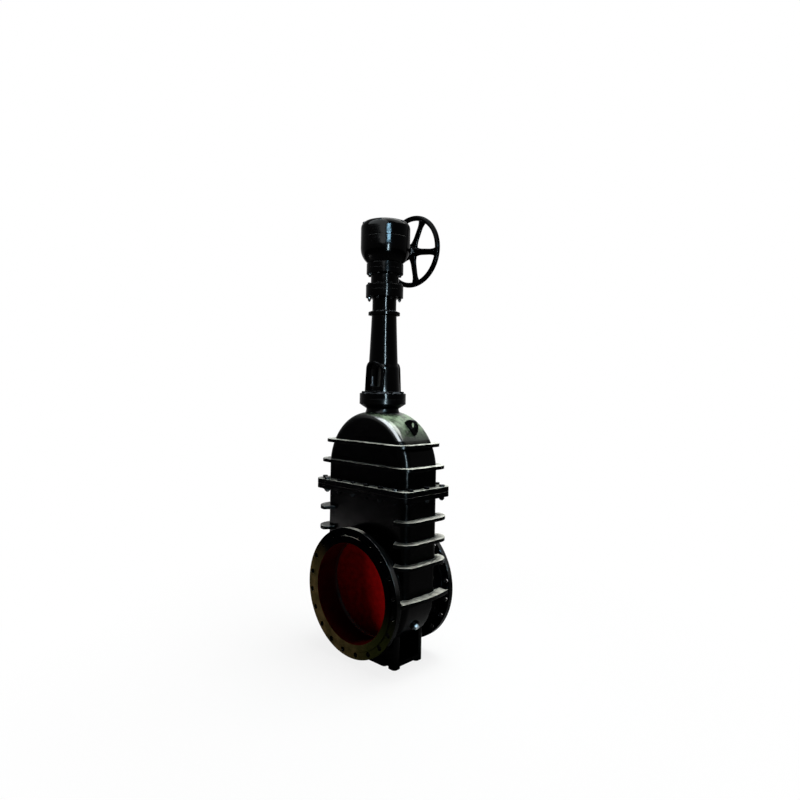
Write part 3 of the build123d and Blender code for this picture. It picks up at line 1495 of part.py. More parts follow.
for start_y, length, name in (
    (cartridge_inner_y, bush_length, "inner_bush"),
    (outer_bush_y, bush_length, "outer_bush"),
    (outer_bush_y + bush_length, shaft_seal_t, "shaft_seal"),
):
    with BuildPart() as sleeve:
        with BuildSketch(pinion_plane.offset(start_y)):
            Circle(shaft_r + bush_wall)
            Circle(shaft_r + shaft_fit, mode=Mode.SUBTRACT)
        extrude(amount=length)
    sleeve.part.label = name
    export_step(sleeve.part, f"parts/{name}.step")

with BuildPart() as cartridge_screws:
    with BuildSketch(pinion_plane.offset(boss_face_y + cartridge_flange_t)):
        with PolarLocations(cartridge_screw_circle_r, cartridge_screw_count, 45):
            RegularPolygon(hex_corner * cartridge_screw_r, 6)
    extrude(amount=head_h_factor * cartridge_screw_r)
    with BuildSketch(pinion_plane.offset(boss_face_y + cartridge_flange_t)):
        with PolarLocations(cartridge_screw_circle_r, cartridge_screw_count, 45):
            Circle(cartridge_screw_r)
    extrude(amount=-cartridge_flange_t + boss_pad_y - boss_face_y + 2)
cartridge_screws.part.label = "cartridge_screws"
export_step(cartridge_screws.part, "parts/cartridge_screws.step")

# Sleeves on the shaft that keep the pinion and the wheel at their distance
with BuildPart() as shaft_spacers:
    for start_y, end_y in (
        (pinion_back_y, cartridge_inner_y - bearing_gap),
        (cartridge_nose_y + bearing_gap, hub_inner_y),
    ):
        with BuildSketch(pinion_plane.offset(start_y)):
            Circle(shaft_r + bush_wall)
            Circle(shaft_r, mode=Mode.SUBTRACT)
        extrude(amount=end_y - start_y)
shaft_spacers.part.label = "shaft_spacers"
export_step(shaft_spacers.part, "parts/shaft_spacers.step")

# Handwheel: cast rim, five tapered spokes and a hub
rim_centre_r = wheel_r - rim_r
with BuildPart() as handwheel:
    with BuildSketch(Plane.XY.offset(apex_z)):
        with Locations((rim_centre_r, wheel_y)):
            Circle(rim_r)
    revolve(axis=Axis((0, 0, apex_z), (0, 1, 0)))
    with BuildSketch(Plane.XZ.offset(-wheel_y)):
        with Locations((0, apex_z)):
            with PolarLocations(0, spoke_count, spoke_start):
                Polygon(
                    (0, -spoke_root_w / 2),
                    (rim_centre_r, -spoke_tip_w / 2),
                    (rim_centre_r, spoke_tip_w / 2),
                    (0, spoke_root_w / 2),
                    align=None,
                )
    extrude(amount=spoke_t / 2, both=True)
    with BuildSketch(Plane.XZ.offset(-hub_inner_y)):
        with Locations((0, apex_z)):
            Circle(wheel_hub_r)
    extrude(amount=-wheel_hub_h)
    with BuildSketch(Plane.XZ.offset(-hub_inner_y)):
        with Locations((0, apex_z)):
            Circle(shaft_r)
        with Locations((0, apex_z + shaft_r)):
            Rectangle(key_w, key_h / 2)
    extrude(amount=-wheel_hub_h, mode=Mode.SUBTRACT)
handwheel.part.label = "handwheel"
export_step(handwheel.part, "parts/handwheel.step")

with BuildPart() as wheel_washer:
    with BuildSketch(pinion_plane.offset(hub_outer_y)):
        Circle(washer_r)
        Circle(shaft_thread_r, mode=Mode.SUBTRACT)
    extrude(amount=washer_t)
wheel_washer.part.label = "wheel_washer"
export_step(wheel_washer.part, "parts/wheel_washer.step")

with BuildPart() as wheel_nut:
    with BuildSketch(pinion_plane.offset(hub_outer_y + washer_t)):
        RegularPolygon(wheel_nut_r, 6)
        Circle(shaft_thread_r, mode=Mode.SUBTRACT)
    extrude(amount=wheel_nut_h)
wheel_nut.part.label = "wheel_nut"
export_step(wheel_nut.part, "parts/wheel_nut.step")
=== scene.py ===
import math

import bpy
from mathutils import Matrix, Vector


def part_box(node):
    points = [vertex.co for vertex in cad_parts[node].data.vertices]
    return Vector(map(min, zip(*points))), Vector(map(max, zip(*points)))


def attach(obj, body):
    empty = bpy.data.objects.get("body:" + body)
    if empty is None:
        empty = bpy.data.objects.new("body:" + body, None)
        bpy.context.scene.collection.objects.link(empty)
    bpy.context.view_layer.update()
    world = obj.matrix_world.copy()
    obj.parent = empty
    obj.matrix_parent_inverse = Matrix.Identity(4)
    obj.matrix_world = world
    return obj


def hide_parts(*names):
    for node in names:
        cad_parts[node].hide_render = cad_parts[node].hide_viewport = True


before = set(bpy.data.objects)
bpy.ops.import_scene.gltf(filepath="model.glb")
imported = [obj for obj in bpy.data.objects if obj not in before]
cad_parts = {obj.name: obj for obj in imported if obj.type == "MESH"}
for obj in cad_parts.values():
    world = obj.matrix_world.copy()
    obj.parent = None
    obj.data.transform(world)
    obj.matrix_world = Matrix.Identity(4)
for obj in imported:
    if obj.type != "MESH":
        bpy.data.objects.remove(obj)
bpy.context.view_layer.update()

bpy.ops.object.select_all(action="DESELECT")

# Camera: where the photograph was taken from, off one corner of the valve and a little above its
# middle, with a wide lens that leans the uprights very slightly.
camera_place = Vector((2.7350, -2.7344, 1.6802))
camera_yaw = 0.757449
camera_pitch = -0.0220666
camera_roll = 0.0181684
ahead = Vector((
    -math.sin(camera_yaw) * math.cos(camera_pitch),
    math.cos(camera_yaw) * math.cos(camera_pitch),
    math.sin(camera_pitch),
))
level = Vector((math.cos(camera_yaw), math.sin(camera_yaw), 0))
upward = level.cross(ahead)
side_axis = math.cos(camera_roll) * level + math.sin(camera_roll) * upward
top_axis = -math.sin(camera_roll) * level + math.cos(camera_roll) * upward
bpy.ops.object.camera_add()
camera = bpy.context.object
camera.name = "camera"
camera.data.lens = 27.736
camera.data.sensor_width = 36
camera.data.clip_end = 60
camera.matrix_world = Matrix((
    (side_axis.x, top_axis.x, -ahead.x, camera_place.x),
    (side_axis.y, top_axis.y, -ahead.y, camera_place.y),
    (side_axis.z, top_axis.z, -ahead.z, camera_place.z),
    (0, 0, 0, 1),
))
bpy.context.scene.camera = camera
bpy.context.scene.view_settings.view_transform = "Standard"

# Studio: a pale floor that fades into a white surround, an overhead soft box and a dim fill low at
# the side. A tall cool strip, a patch above it and a wide panel over the flanges light nothing, and
# only show as highlights in the paint.
def plug_in(tree, node, inputs):
    """Sets each input of a node to a value, or links it to the output of another node."""
    for key, value in inputs.items():
        if isinstance(value, bpy.types.NodeSocket):
            tree.links.new(value, node.inputs[key])
        else:
            node.inputs[key].default_value = value


def add_node(tree, kind, inputs=None, **settings):
    """Adds a shader node with its settings and its inputs."""
    node = tree.nodes.new(f"ShaderNode{kind}")
    for key, value in settings.items():
        setattr(node, key, value)
    plug_in(tree, node, inputs or {})
    return node


def calculate(tree, operation, *values):
    """The result of a maths operation on outputs and numbers; a comparison gives 1 or 0."""
    return add_node(tree, "Math", dict(enumerate(values)), operation=operation).outputs[0]


def rescale(tree, value, given, wanted=(0, 1), steps="SMOOTHSTEP"):
    """Carries a value from one range to another and holds it at the ends."""
    node = add_node(tree, "MapRange", interpolation_type=steps)
    plug_in(tree, node, {"Value": value, "From Min": given[0], "From Max": given[1]})
    plug_in(tree, node, {"To Min": wanted[0], "To Max": wanted[1]})
    return node.outputs["Result"]


world = bpy.data.worlds.new("studio")
bpy.context.scene.world = world
world.use_nodes = True
tree = world.node_tree
tree.nodes.clear()
lit = add_node(tree, "Background", {"Color": (0.9, 0.95, 1.0, 1), "Strength": 0.04})
seen = add_node(tree, "Background", {"Color": (1, 1, 1, 1)})
ray = add_node(tree, "LightPath").outputs
looked_at = calculate(tree, "MAXIMUM", ray["Is Camera Ray"], ray["Is Glossy Ray"])
any_seen = calculate(tree, "MAXIMUM", looked_at, ray["Is Transmission Ray"])
surround = add_node(tree, "MixShader", {0: any_seen, 1: lit.outputs[0], 2: seen.outputs[0]})
add_node(tree, "OutputWorld", {"Surface": surround.outputs[0]})

floor_size = 30
floor_sunk = 0.0005
bpy.ops.mesh.primitive_plane_add(size=floor_size, location=(0, 0, -floor_sunk))
floor = bpy.context.object
floor.name = "floor"
floor_paint = bpy.data.materials.new("pale_floor")
floor_paint.use_nodes = True
tree = floor_paint.node_tree
shader = tree.nodes["Principled BSDF"]
plug_in(tree, shader, {"Base Color": (0.55, 0.55, 0.56, 1), "Roughness": 0.9, "Specular IOR Level": 0})
glow = add_node(tree, "Emission")
place = add_node(tree, "TexCoord").outputs["Object"]
reach = add_node(tree, "VectorMath", {0: place}, operation="LENGTH").outputs["Value"]
fade = rescale(tree, reach, (0.2, 2.6), (0.84, 1))
ray = add_node(tree, "LightPath").outputs
glow_share = calculate(tree, "MULTIPLY", fade, ray["Is Camera Ray"])
floor_mix = add_node(tree, "MixShader", {0: glow_share, 1: shader.outputs[0], 2: glow.outputs[0]})
plug_in(tree, tree.nodes["Material Output"], {"Surface": floor_mix.outputs[0]})
floor.data.materials.append(floor_paint)


def soft_box(name, place, aim, width, height, power, colour, shine=True, light=True):
    """A rectangular studio lamp that faces a point; it may only shine in gloss, or only light."""
    bpy.ops.object.light_add(type="AREA", location=place)
    lamp = bpy.context.object
    lamp.name = name
    lamp.data.shape = "RECTANGLE"
    lamp.data.size = width
    lamp.data.size_y = height
    lamp.data.energy = power
    lamp.data.color = colour
    lamp.rotation_euler = (Vector(aim) - Vector(place)).to_track_quat("-Z", "Y").to_euler()
    lamp.visible_glossy = shine
    lamp.visible_diffuse = light


white = (0.97, 1.0, 0.97)
warm = (1.0, 0.97, 0.94)
pale_blue = (0.90, 0.97, 1.0)
cool_blue = (0.66, 0.88, 1.0)
deep_blue = (0.40, 0.74, 1.0)
soft_box(
    "overhead", place=(0.6, 0.6, 4.6), aim=(0, 0, 1.4),
    width=2.6, height=2.6, power=430, colour=white,
)
soft_box(
    "tall_strip", place=(3.1, -1.85, 1.85), aim=(0, 0, 1.6),
    width=0.14, height=2.1, power=1700, colour=cool_blue, light=False,
)
soft_box(
    "top_patch", place=(3.1, -1.85, 3.55), aim=(0, 0, 2.6),
    width=0.90, height=0.22, power=700, colour=deep_blue, light=False,
)
soft_box(
    "edge_panel", place=(1.5, -2.1, 4.1), aim=(2.7, 0.1, 1.2),
    width=5.4, height=2.4, power=1450, colour=pale_blue, light=False,
)
soft_box(
    "low_fill", place=(-3.2, -2.2, 0.2), aim=(0, 0, 0.45),
    width=0.9, height=0.5, power=275, colour=warm, shine=False,
)


# Casing: the body casting in grey iron, sprayed with gloss black enamel outside. Its pipe flange
# faces are turned and partly brown under a film of oil, and the bore is painted dark red.
def noise(tree, place, scale, detail):
    """A cloudy pattern."""
    pattern = add_node(tree, "TexNoise", {"Vector": place, "Scale": scale, "Detail": detail})
    return pattern.outputs["Fac"]


def product(tree, *shares):
    """Several shares multiplied."""
    result = shares[0]
    for share in shares[1:]:
        result = calculate(tree, "MULTIPLY", result, share)
    return result


def blend_colour(tree, share, below, above, **settings):
    """Mixes two colours, each an output or a value, by a share."""
    inputs = {"Factor": share, "A": below, "B": above}
    return add_node(tree, "Mix", inputs, data_type="RGBA", **settings).outputs["Result"]


enamel_black = (0.0002, 0.0002, 0.0003, 1)
enamel_shine = 0.012


def painted_casting(name, gloss=0.16, edge=0.004, dust_and_reflection=(0.03, 0.034, 0.04), dust_and_reflection_on=(0.8, 0.98),
                    shine=enamel_shine, cover=0.15):
    """Gloss enamel over a sand casting: soft edges, orange peel, a wavy skin, and on top a pale
    dusting with a painted reflection of the sky.
    """
    paint = bpy.data.materials.new(name)
    paint.use_nodes = True
    tree = paint.node_tree
    place = add_node(tree, "TexCoord").outputs["Object"]
    soft_edge = add_node(tree, "Bevel", {"Radius": edge}, samples=4)
    wavy_skin = add_node(tree, "Bump", {
        "Height": noise(tree, place, scale=9, detail=2),
        "Strength": 0.35,
        "Distance": 0.006,
        "Normal": soft_edge.outputs[0],
    })
    fine_skin = add_node(tree, "Bump", {
        "Height": noise(tree, place, scale=140, detail=3),
        "Strength": 0.25,
        "Distance": 0.0006,
        "Normal": wavy_skin.outputs[0],
    }, name="fine skin")
    normal = add_node(tree, "NewGeometry").outputs["Normal"]
    facing = add_node(tree, "SeparateXYZ", {0: normal}, name="facing").outputs
    patches = noise(tree, place, scale=26, detail=5)
    patchy_share = rescale(tree, patches, (0.34, 0.6), (cover, 1), "LINEAR")
    # Upward faces take a pale colour: partly dusting in patches, partly a painted reflection of the
    # sky.
    dust_and_reflection_share = product(tree, rescale(tree, facing["Z"], dust_and_reflection_on), patchy_share)
    plug_in(tree, tree.nodes["Principled BSDF"], {
        "Base Color": blend_colour(tree, dust_and_reflection_share, enamel_black, (*dust_and_reflection, 1), name="dust and reflection colour"),
        "Roughness": rescale(tree, patches, (0, 1), (gloss - 0.05, gloss + 0.12), "LINEAR"),
        "Specular IOR Level": shine,
        "Normal": fine_skin.outputs[0],
    })
    return paint


def coat_node(node, material):
    """Gives a CAD node its finish."""
    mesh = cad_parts[node].data
    mesh.materials.clear()
    mesh.materials.append(material)


def sky_facing(tree, low, high):
    """0 on upright and hanging faces, rising to 1 on those that look up at the lamps."""
    return rescale(tree, tree.nodes["facing"].outputs["Z"], (low, high))


def colour_ramp(tree, value, first, last):
    """A colour that runs from one to another; each is given as (value, colour)."""
    ramp = add_node(tree, "ValToRGB", {"Fac": value})
    for stop, (position, colour) in zip(ramp.color_ramp.elements, (first, last)):
        stop.position = position
        stop.color = colour
    return ramp.outputs["Color"]


bore_axis_z = 0.430
bore_reach = 0.301
flange_face_y = 0.2485
flange_back_y = 0.217
flange_rim_reach = 0.3845
dust_and_reflection_from_z = 0.34
bore_red = (0.020, 0.0008, 0.0008, 1)
thin_film = (0.009, 0.0075, 0.0025, 1)
thick_film = (0.032, 0.022, 0.009, 1)
film_painted_shade = (0.005, 0.006, 0.0015, 1)
brown_towards = (-0.42, 0, -0.91)
mark_strength = 0.5
mark_height = 0.0003
dull_by = 0.28
rim_shine = 0.22
# The pale colour on the flat rib tops is partly dusting and partly a painted reflection of the sky.
ledge_dust_and_reflection = (0.47, 0.47, 0.43)
casing_paint = painted_casting("casing_enamel", dust_and_reflection=ledge_dust_and_reflection, dust_and_reflection_on=(0.96, 0.998), cover=0.5)
tree = casing_paint.node_tree
place = add_node(tree, "TexCoord").outputs["Object"]
axis_shift = {"Vector": place, "Location": (0, 0, -bore_axis_z), "Scale": (1, 0, 1)}
from_axis = add_node(tree, "Mapping", axis_shift).outputs[0]
reach = add_node(tree, "VectorMath", {0: from_axis}, operation="LENGTH").outputs["Value"]
spot = add_node(tree, "SeparateXYZ", {0: place}).outputs
off_middle = calculate(tree, "ABSOLUTE", spot["Y"])
on_face = calculate(tree, "GREATER_THAN", off_middle, flange_face_y)
in_bore = calculate(tree, "LESS_THAN", reach, bore_reach)
dull = calculate(tree, "MAXIMUM", on_face, in_bore)

# The flange faces are brown low down and towards -X, and black over the rest. The film of oil is
# brown where it lies thick, and painted shade darkens it towards +X.
stains = noise(tree, from_axis, scale=14, detail=6)
oil_film = colour_ramp(tree, stains, (0.3, thin_film), (0.75, thick_film))
# Painted shade: the film darkens towards +X.
shaded = rescale(tree, spot["X"], (-0.12, 0.26))
film_with_painted_shade = blend_colour(tree, shaded, oil_film, film_painted_shade)
brown_side = add_node(tree, "VectorMath", {0: from_axis, 1: brown_towards}, operation="DOT_PRODUCT")
brown_share = rescale(tree, brown_side.outputs["Value"], (-0.16, 0.14))
# Above a set height the enamel takes that pale colour; lower down it stays black.
dust_and_reflection_reach = calculate(tree, "GREATER_THAN", spot["Z"], dust_and_reflection_from_z)
enamel_with_dust_and_reflection = tree.nodes["dust and reflection colour"].outputs["Result"]
enamel = blend_colour(tree, dust_and_reflection_reach, enamel_black, enamel_with_dust_and_reflection)
face = blend_colour(tree, brown_share, enamel, film_with_painted_shade)
outside = blend_colour(tree, on_face, enamel, face)

# Turning leaves rings on the faces. Faces and bore are duller than the enamel, and the outer edge of
# each flange catches the light.
turned_marks = add_node(tree, "TexWave", {
    "Vector": from_axis,
    "Scale": 110,
    "Distortion": 0.6,
    "Detail": 2,
}, wave_type="RINGS", rings_direction="Y")
marked = add_node(tree, "Bump", {
    "Height": turned_marks.outputs["Fac"],
    "Strength": calculate(tree, "MULTIPLY", on_face, mark_strength),
    "Distance": mark_height,
    "Normal": tree.nodes["fine skin"].outputs[0],
})
past_rim = calculate(tree, "GREATER_THAN", reach, flange_rim_reach)
past_back = calculate(tree, "GREATER_THAN", off_middle, flange_back_y)
on_rim = product(tree, past_rim, past_back, sky_facing(tree, low=0.05, high=0.6))
paint_shine = rescale(tree, dull, (0, 1), (enamel_shine, 0), "LINEAR")
shader = tree.nodes["Principled BSDF"]
paint_roughness = shader.inputs["Roughness"].links[0].from_socket
plug_in(tree, shader, {
    "Base Color": blend_colour(tree, in_bore, outside, bore_red),
    "Roughness": calculate(tree, "MULTIPLY_ADD", dull, dull_by, paint_roughness),
    "Specular IOR Level": calculate(tree, "MULTIPLY_ADD", on_rim, rim_shine, paint_shine),
    "Normal": marked.outputs[0],
})
coat_node("casing", casing_paint)

# Bonnet: the arched upper casting in grey iron, painted as the casing is and bolted down on it. The
# gate rises into it, and its neck carries the stuffing box. Pale dusting and a painted reflection of
# the sky lie on its ribs, and a greenish painted reflection over thin dusting on its dome's near side.
dome_from_z = 1.36
neck_from_z = 1.513
rib_dust_and_reflection = (0.44, 0.45, 0.41, 1)
dome_dust_and_reflection = (0.13, 0.18, 0.12, 1)
dome_without_reflection = (0.004, 0.005, 0.004, 1)
dome_shine = 0.25
bonnet_paint = painted_casting("bonnet_enamel", dust_and_reflection_on=(0.48, 0.95), cover=0.3)
tree = bonnet_paint.node_tree
spot = add_node(tree, "SeparateXYZ", {0: add_node(tree, "TexCoord").outputs["Object"]}).outputs
on_dome = calculate(tree, "GREATER_THAN", spot["Z"], dome_from_z)
under_neck = calculate(tree, "LESS_THAN", spot["Z"], neck_from_z)
# The dome's near side takes the greenish painted reflection; its far side stays dark.
near_side = rescale(tree, spot["X"], (-0.12, 0.12))
dome_colour = blend_colour(tree, near_side, dome_without_reflection, dome_dust_and_reflection)
bonnet_dust_and_reflection = blend_colour(tree, on_dome, rib_dust_and_reflection, dome_colour)
plug_in(tree, tree.nodes["dust and reflection colour"], {"B": bonnet_dust_and_reflection})
polished = product(tree, on_dome, under_neck, near_side, sky_facing(tree, low=0.12, high=0.36))
bonnet_shine = calculate(tree, "MULTIPLY_ADD", polished, dome_shine, enamel_shine)
plug_in(tree, tree.nodes["Principled BSDF"], {"Specular IOR Level": bonnet_shine})
coat_node("bonnet", bonnet_paint)


# Gasket: a sheet of compressed fibre, cut to the joint and nipped between the two flanges so that
# only its edge shows.
def plain_finish(name, colour, roughness, grain, depth, metal=0, spread=0.3, shine=0.2):
    """A finish with a fine grain: its colour and roughness vary a little over the surface."""
    finish = bpy.data.materials.new(name)
    finish.use_nodes = True
    tree = finish.node_tree
    place = add_node(tree, "TexCoord").outputs["Object"]
    grains = noise(tree, place, scale=grain, detail=5)
    darker = (*[part * (1 - spread) for part in colour], 1)
    lighter = (*[min(1, part * (1 + spread)) for part in colour], 1)
    grained = add_node(tree, "Bump", {"Height": grains, "Strength": 0.4, "Distance": depth})
    plug_in(tree, tree.nodes["Principled BSDF"], {
        "Base Color": colour_ramp(tree, grains, (0.3, darker), (0.7, lighter)),
        "Metallic": metal,
        "Roughness": rescale(tree, grains, (0, 1), (roughness - 0.06, roughness + 0.1), "LINEAR"),
        "Specular IOR Level": shine,
        "Normal": grained.outputs[0],
    })
    return finish


fibre_grey = (0.09, 0.09, 0.085)
fibre_sheet = plain_finish("fibre_sheet", fibre_grey, roughness=0.8, grain=300, depth=0.0004)
coat_node("bonnet_gasket", fibre_sheet)


# Joint bolts: hexagon bolts and nuts of forged steel round the casing joint, painted with it. Each
# nut leaves a few turns of thread showing below.
def lathe(name, outline, steps=48):
    """A turned piece round the Z axis from its (radius, height) outline, which ends on the axis."""
    merge_within = 0.00001
    bpy.ops.object.select_all(action="DESELECT")
    bpy.ops.mesh.primitive_circle_add(vertices=len(outline), radius=1)
    piece = bpy.context.object
    piece.name = name
    for vertex, (radius, height) in zip(piece.data.vertices, outline):
        vertex.co = (radius, 0, height)
    bpy.ops.object.mode_set(mode="EDIT")
    bpy.ops.mesh.select_all(action="SELECT")
    bpy.ops.mesh.spin(steps=steps, angle=2 * math.pi, center=(0, 0, 0), axis=(0, 0, 1))
    bpy.ops.mesh.select_all(action="SELECT")
    bpy.ops.mesh.remove_doubles(threshold=merge_within)
    bpy.ops.mesh.dissolve_degenerate(threshold=merge_within)
    bpy.ops.mesh.normals_make_consistent(inside=False)
    bpy.ops.object.mode_set(mode="OBJECT")
    bpy.ops.object.shade_smooth_by_angle(angle=math.radians(35))
    return piece


def hexagon(name, corner, height, both_ends=False):
    """A hexagon head or nut standing on the XY plane, its corners turned off at 30 degrees."""
    rim = corner * 0.95
    chamfer_width = corner * 0.14
    flat = corner * math.cos(math.pi / 6)
    land = flat * 0.97
    drop = (corner - flat) * math.tan(math.pi / 6)
    bpy.ops.object.select_all(action="DESELECT")
    bpy.ops.mesh.primitive_cylinder_add(
        vertices=12, radius=corner, depth=height, location=(0, 0, height / 2)
    )
    piece = bpy.context.object
    piece.name = name
    bpy.ops.object.transform_apply(location=True, rotation=True, scale=True)
    bpy.ops.object.mode_set(mode="EDIT")
    bpy.ops.mesh.select_all(action="DESELECT")
    bpy.ops.object.mode_set(mode="OBJECT")
    ends = (1, -1) if both_ends else (1,)
    for end in ends:
        for face in piece.data.polygons:
            face.select = face.normal.z * end > 0.9
        bpy.ops.object.mode_set(mode="EDIT")
        bpy.ops.mesh.inset(thickness=chamfer_width)
        bpy.ops.mesh.select_all(action="DESELECT")
        bpy.ops.object.mode_set(mode="OBJECT")
    for vertex in piece.data.vertices:
        across = math.hypot(vertex.co.x, vertex.co.y)
        turn = math.degrees(math.atan2(vertex.co.y, vertex.co.x)) % 60
        on_corner = min(turn, 60 - turn) < 5
        if across < rim:
            vertex.co.x *= land / across
            vertex.co.y *= land / across
        elif not on_corner:
            vertex.co.x *= flat / across
            vertex.co.y *= flat / across
        elif vertex.co.z > height / 2:
            vertex.co.z -= drop
        elif both_ends:
            vertex.co.z += drop
    return piece


def thread(name, radius, pitch, length, depth=0.6, steps=18, left_hand=False):
    """A screw thread up the Z axis from the XY plane: a core with a ridge wound round it."""
    root = radius - depth * pitch
    ridge_foot = root - 0.1 * pitch
    core = lathe(f"{name}_core", ((0, 0), (root, 0), (root, length), (0, length)), steps=steps)
    bpy.ops.object.select_all(action="DESELECT")
    bpy.ops.mesh.primitive_circle_add(vertices=4, radius=1)
    ridge = bpy.context.object
    ridge.name = f"{name}_ridge"
    section = (
        (ridge_foot, 0),
        (radius, 0.36 * pitch),
        (radius, 0.6 * pitch),
        (ridge_foot, 0.96 * pitch),
    )
    for vertex, (out, up) in zip(ridge.data.vertices, section):
        vertex.co = (out, 0, up)
    winding = ridge.modifiers.new("winding", "SCREW")
    winding.axis = "Z"
    winding.angle = -2 * math.pi if left_hand else 2 * math.pi
    winding.screw_offset = pitch
    winding.iterations = max(1, int(length / pitch) - 1)
    winding.steps = steps
    winding.render_steps = steps
    bpy.ops.object.modifier_apply(modifier="winding")
    bpy.ops.object.mode_set(mode="EDIT")
    bpy.ops.mesh.select_all(action="SELECT")
    bpy.ops.mesh.fill_holes(sides=4)
    bpy.ops.mesh.normals_make_consistent(inside=False)
    bpy.ops.object.mode_set(mode="OBJECT")
    return fuse(name, [core, ridge])


def fuse(name, pieces):
    """Joins several objects into one piece."""
    bpy.ops.object.select_all(action="DESELECT")
    for piece in pieces:
        piece.select_set(True)
    bpy.context.view_layer.objects.active = pieces[0]
    if len(pieces) > 1:
        bpy.ops.object.join()
    whole = bpy.context.object
    whole.name = name
    return whole


def set_out(name, model, places):
    """Puts a copy of the model at every place, each with its own mesh, and joins them."""
    copies = []
    for place in places:
        copy = bpy.data.objects.new(name, model.data.copy())
        copy.data.transform(place)
        bpy.context.scene.collection.objects.link(copy)
        copies.append(copy)
    bpy.data.objects.remove(model)
    return fuse(name, copies)


def dress(piece, material, body, cad_node):
    """Finishes a new piece and lets it ride in the place of its CAD node."""
    piece.data.materials.clear()
    piece.data.materials.append(material)
    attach(piece, body)
    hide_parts(cad_node)


def circle_places(radius, count, start, height, turned_over=False):
    """Places round the stem on a bolt circle, facing up, or down when turned over."""
    tightened_by = 13
    places = []
    for k in range(count):
        angle = math.radians(start + 360 * k / count)
        spot = Matrix.Translation((radius * math.cos(angle), radius * math.sin(angle), height))
        flip = Matrix.Rotation(math.pi, 4, "X") if turned_over else Matrix.Identity(4)
        places.append(spot @ flip @ Matrix.Rotation(math.radians(tightened_by * k), 4, "Z"))
    return places


joint_head_z = 1.080
joint_nut_z = 1.020
joint_low_z = 0.998
joint_line_x = 0.378
joint_line_y = 0.187
joint_long_count = 6
joint_long_pitch = 0.120
joint_short_count = 3
joint_short_pitch = 0.140
joint_bolt_radius = 0.010
joint_bolt_pitch = 0.0025
joint_end_length = 0.030
joint_corner = 0.0175
joint_head_height = 0.0125
joint_nut_height = 0.016
joint_tightened_by = 17
fastener_paint = painted_casting("fastener_enamel", gloss=0.14, edge=0.0008, shine=0.03)
joint_spots = []
for k in range(joint_long_count):
    along = (k - (joint_long_count - 1) / 2) * joint_long_pitch
    joint_spots += [(along, -joint_line_y), (along, joint_line_y)]
for k in range(joint_short_count):
    along = (k - (joint_short_count - 1) / 2) * joint_short_pitch
    joint_spots += [(-joint_line_x, along), (joint_line_x, along)]
upside_down = Matrix.Rotation(math.pi, 4, "X")
head_places = []
nut_places = []
end_places = []
for number, (x, y) in enumerate(joint_spots):
    turn = Matrix.Rotation(math.radians(joint_tightened_by * number), 4, "Z")
    head_places.append(Matrix.Translation((x, y, joint_head_z)) @ turn)
    nut_places.append(Matrix.Translation((x, y, joint_nut_z)) @ upside_down @ turn)
    end_places.append(Matrix.Translation((x, y, joint_low_z)) @ turn)
joint_head = hexagon("joint_head", joint_corner, joint_head_height)
joint_heads = set_out("joint_heads", joint_head, head_places)
joint_end = thread("joint_end", joint_bolt_radius, joint_bolt_pitch, joint_end_length)
joint_ends = set_out("joint_ends", joint_end, end_places)
joint_bolts = fuse("joint_bolts", [joint_heads, joint_ends])
dress(joint_bolts, fastener_paint, "valve_body", "bonnet_bolts")
joint_nut = hexagon("joint_nut", joint_corner, joint_nut_height, both_ends=True)
joint_nuts = set_out("joint_nuts", joint_nut, nut_places)
dress(joint_nuts, fastener_paint, "valve_body", "bonnet_nuts")

# Lifting eye and drain plug: a forged steel loop screwed into the bonnet's shoulder and painted with
# it, and a bare steel plug with a hexagon head, screwed in low on the casing's side.
coat_node("lifting_eye", painted_casting("eye_enamel", edge=0.003))
plug_lean = math.radians(120)
plug_reach = 0.362
plug_corner = 0.018
plug_head_height = 0.014
plug_place = (
    Matrix.Translation((0, 0, bore_axis_z))
    @ Matrix.Rotation(plug_lean, 4, "Y")
    @ Matrix.Translation((0, 0, plug_reach))
)
plug_head = hexagon("plug_head", plug_corner, plug_head_height)
plug = set_out("drain_plug_head", plug_head, [plug_place])
bare_steel = (0.22, 0.24, 0.25)
plug_steel = plain_finish("plug_steel", bare_steel, roughness=0.3, grain=60, depth=0.0004, metal=1)
dress(plug, plug_steel, "valve_body", "drain_plug")

# Gate and seats: a wedge of cast iron with dished faces, brushed with dark red primer as the bore
# is. It closes between bronze rings, which are pressed into the casing and into the gate.
primer_red = (0.070, 0.0008, 0.0008)
gate_primer = plain_finish(
    "gate_primer", primer_red, roughness=0.5, grain=30, depth=0.0012, spread=0.25, shine=0
)
coat_node("wedge_gate", gate_primer)
dark_bronze = (0.020, 0.002, 0.001)
ring_bronze = plain_finish(
    "seat_bronze", dark_bronze, roughness=0.5, grain=60, depth=0.0003, shine=0.01
)
for node in ("inlet_seat_ring", "outlet_seat_ring", "gate_ring_inlet", "gate_ring_outlet"):
    coat_node(node, ring_bronze)

# Nuts and bushes: turned bronze. The gate nut hangs the gate on the stem, the stem nut turns between
# its bearings, and the bushes are pressed in where the stem and the handwheel shaft run.
bronze = (0.42, 0.27, 0.12)
bright_bronze = plain_finish(
    "turned_bronze", bronze, roughness=0.32, grain=120, depth=0.0002, metal=1
)
for node in ("gate_nut", "stem_nut", "backseat_bush", "inner_bush", "outer_bush"):
    coat_node(node, bright_bronze)

# Stem: a stainless bar with a coned collar below the bonnet and, from the packing up, a coarse
# left-hand trapezoid thread that the turning nut draws up through the gearbox. A pin of the same
# steel locks it in the gate nut.
stem_radius = 0.036
stem_tail_radius = 0.030
stem_tail_top = 0.805
stem_low, stem_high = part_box("stem")
collar_top = 0.873
collar_step_radius = 0.040
collar_radius = 0.050
collar_cone = 0.010
collar_height = 0.020
stem_thread_z = 1.805
stem_thread_radius = 0.0355
stem_thread_root = 0.032
stem_pitch = 0.010
stem_run_out = 0.002
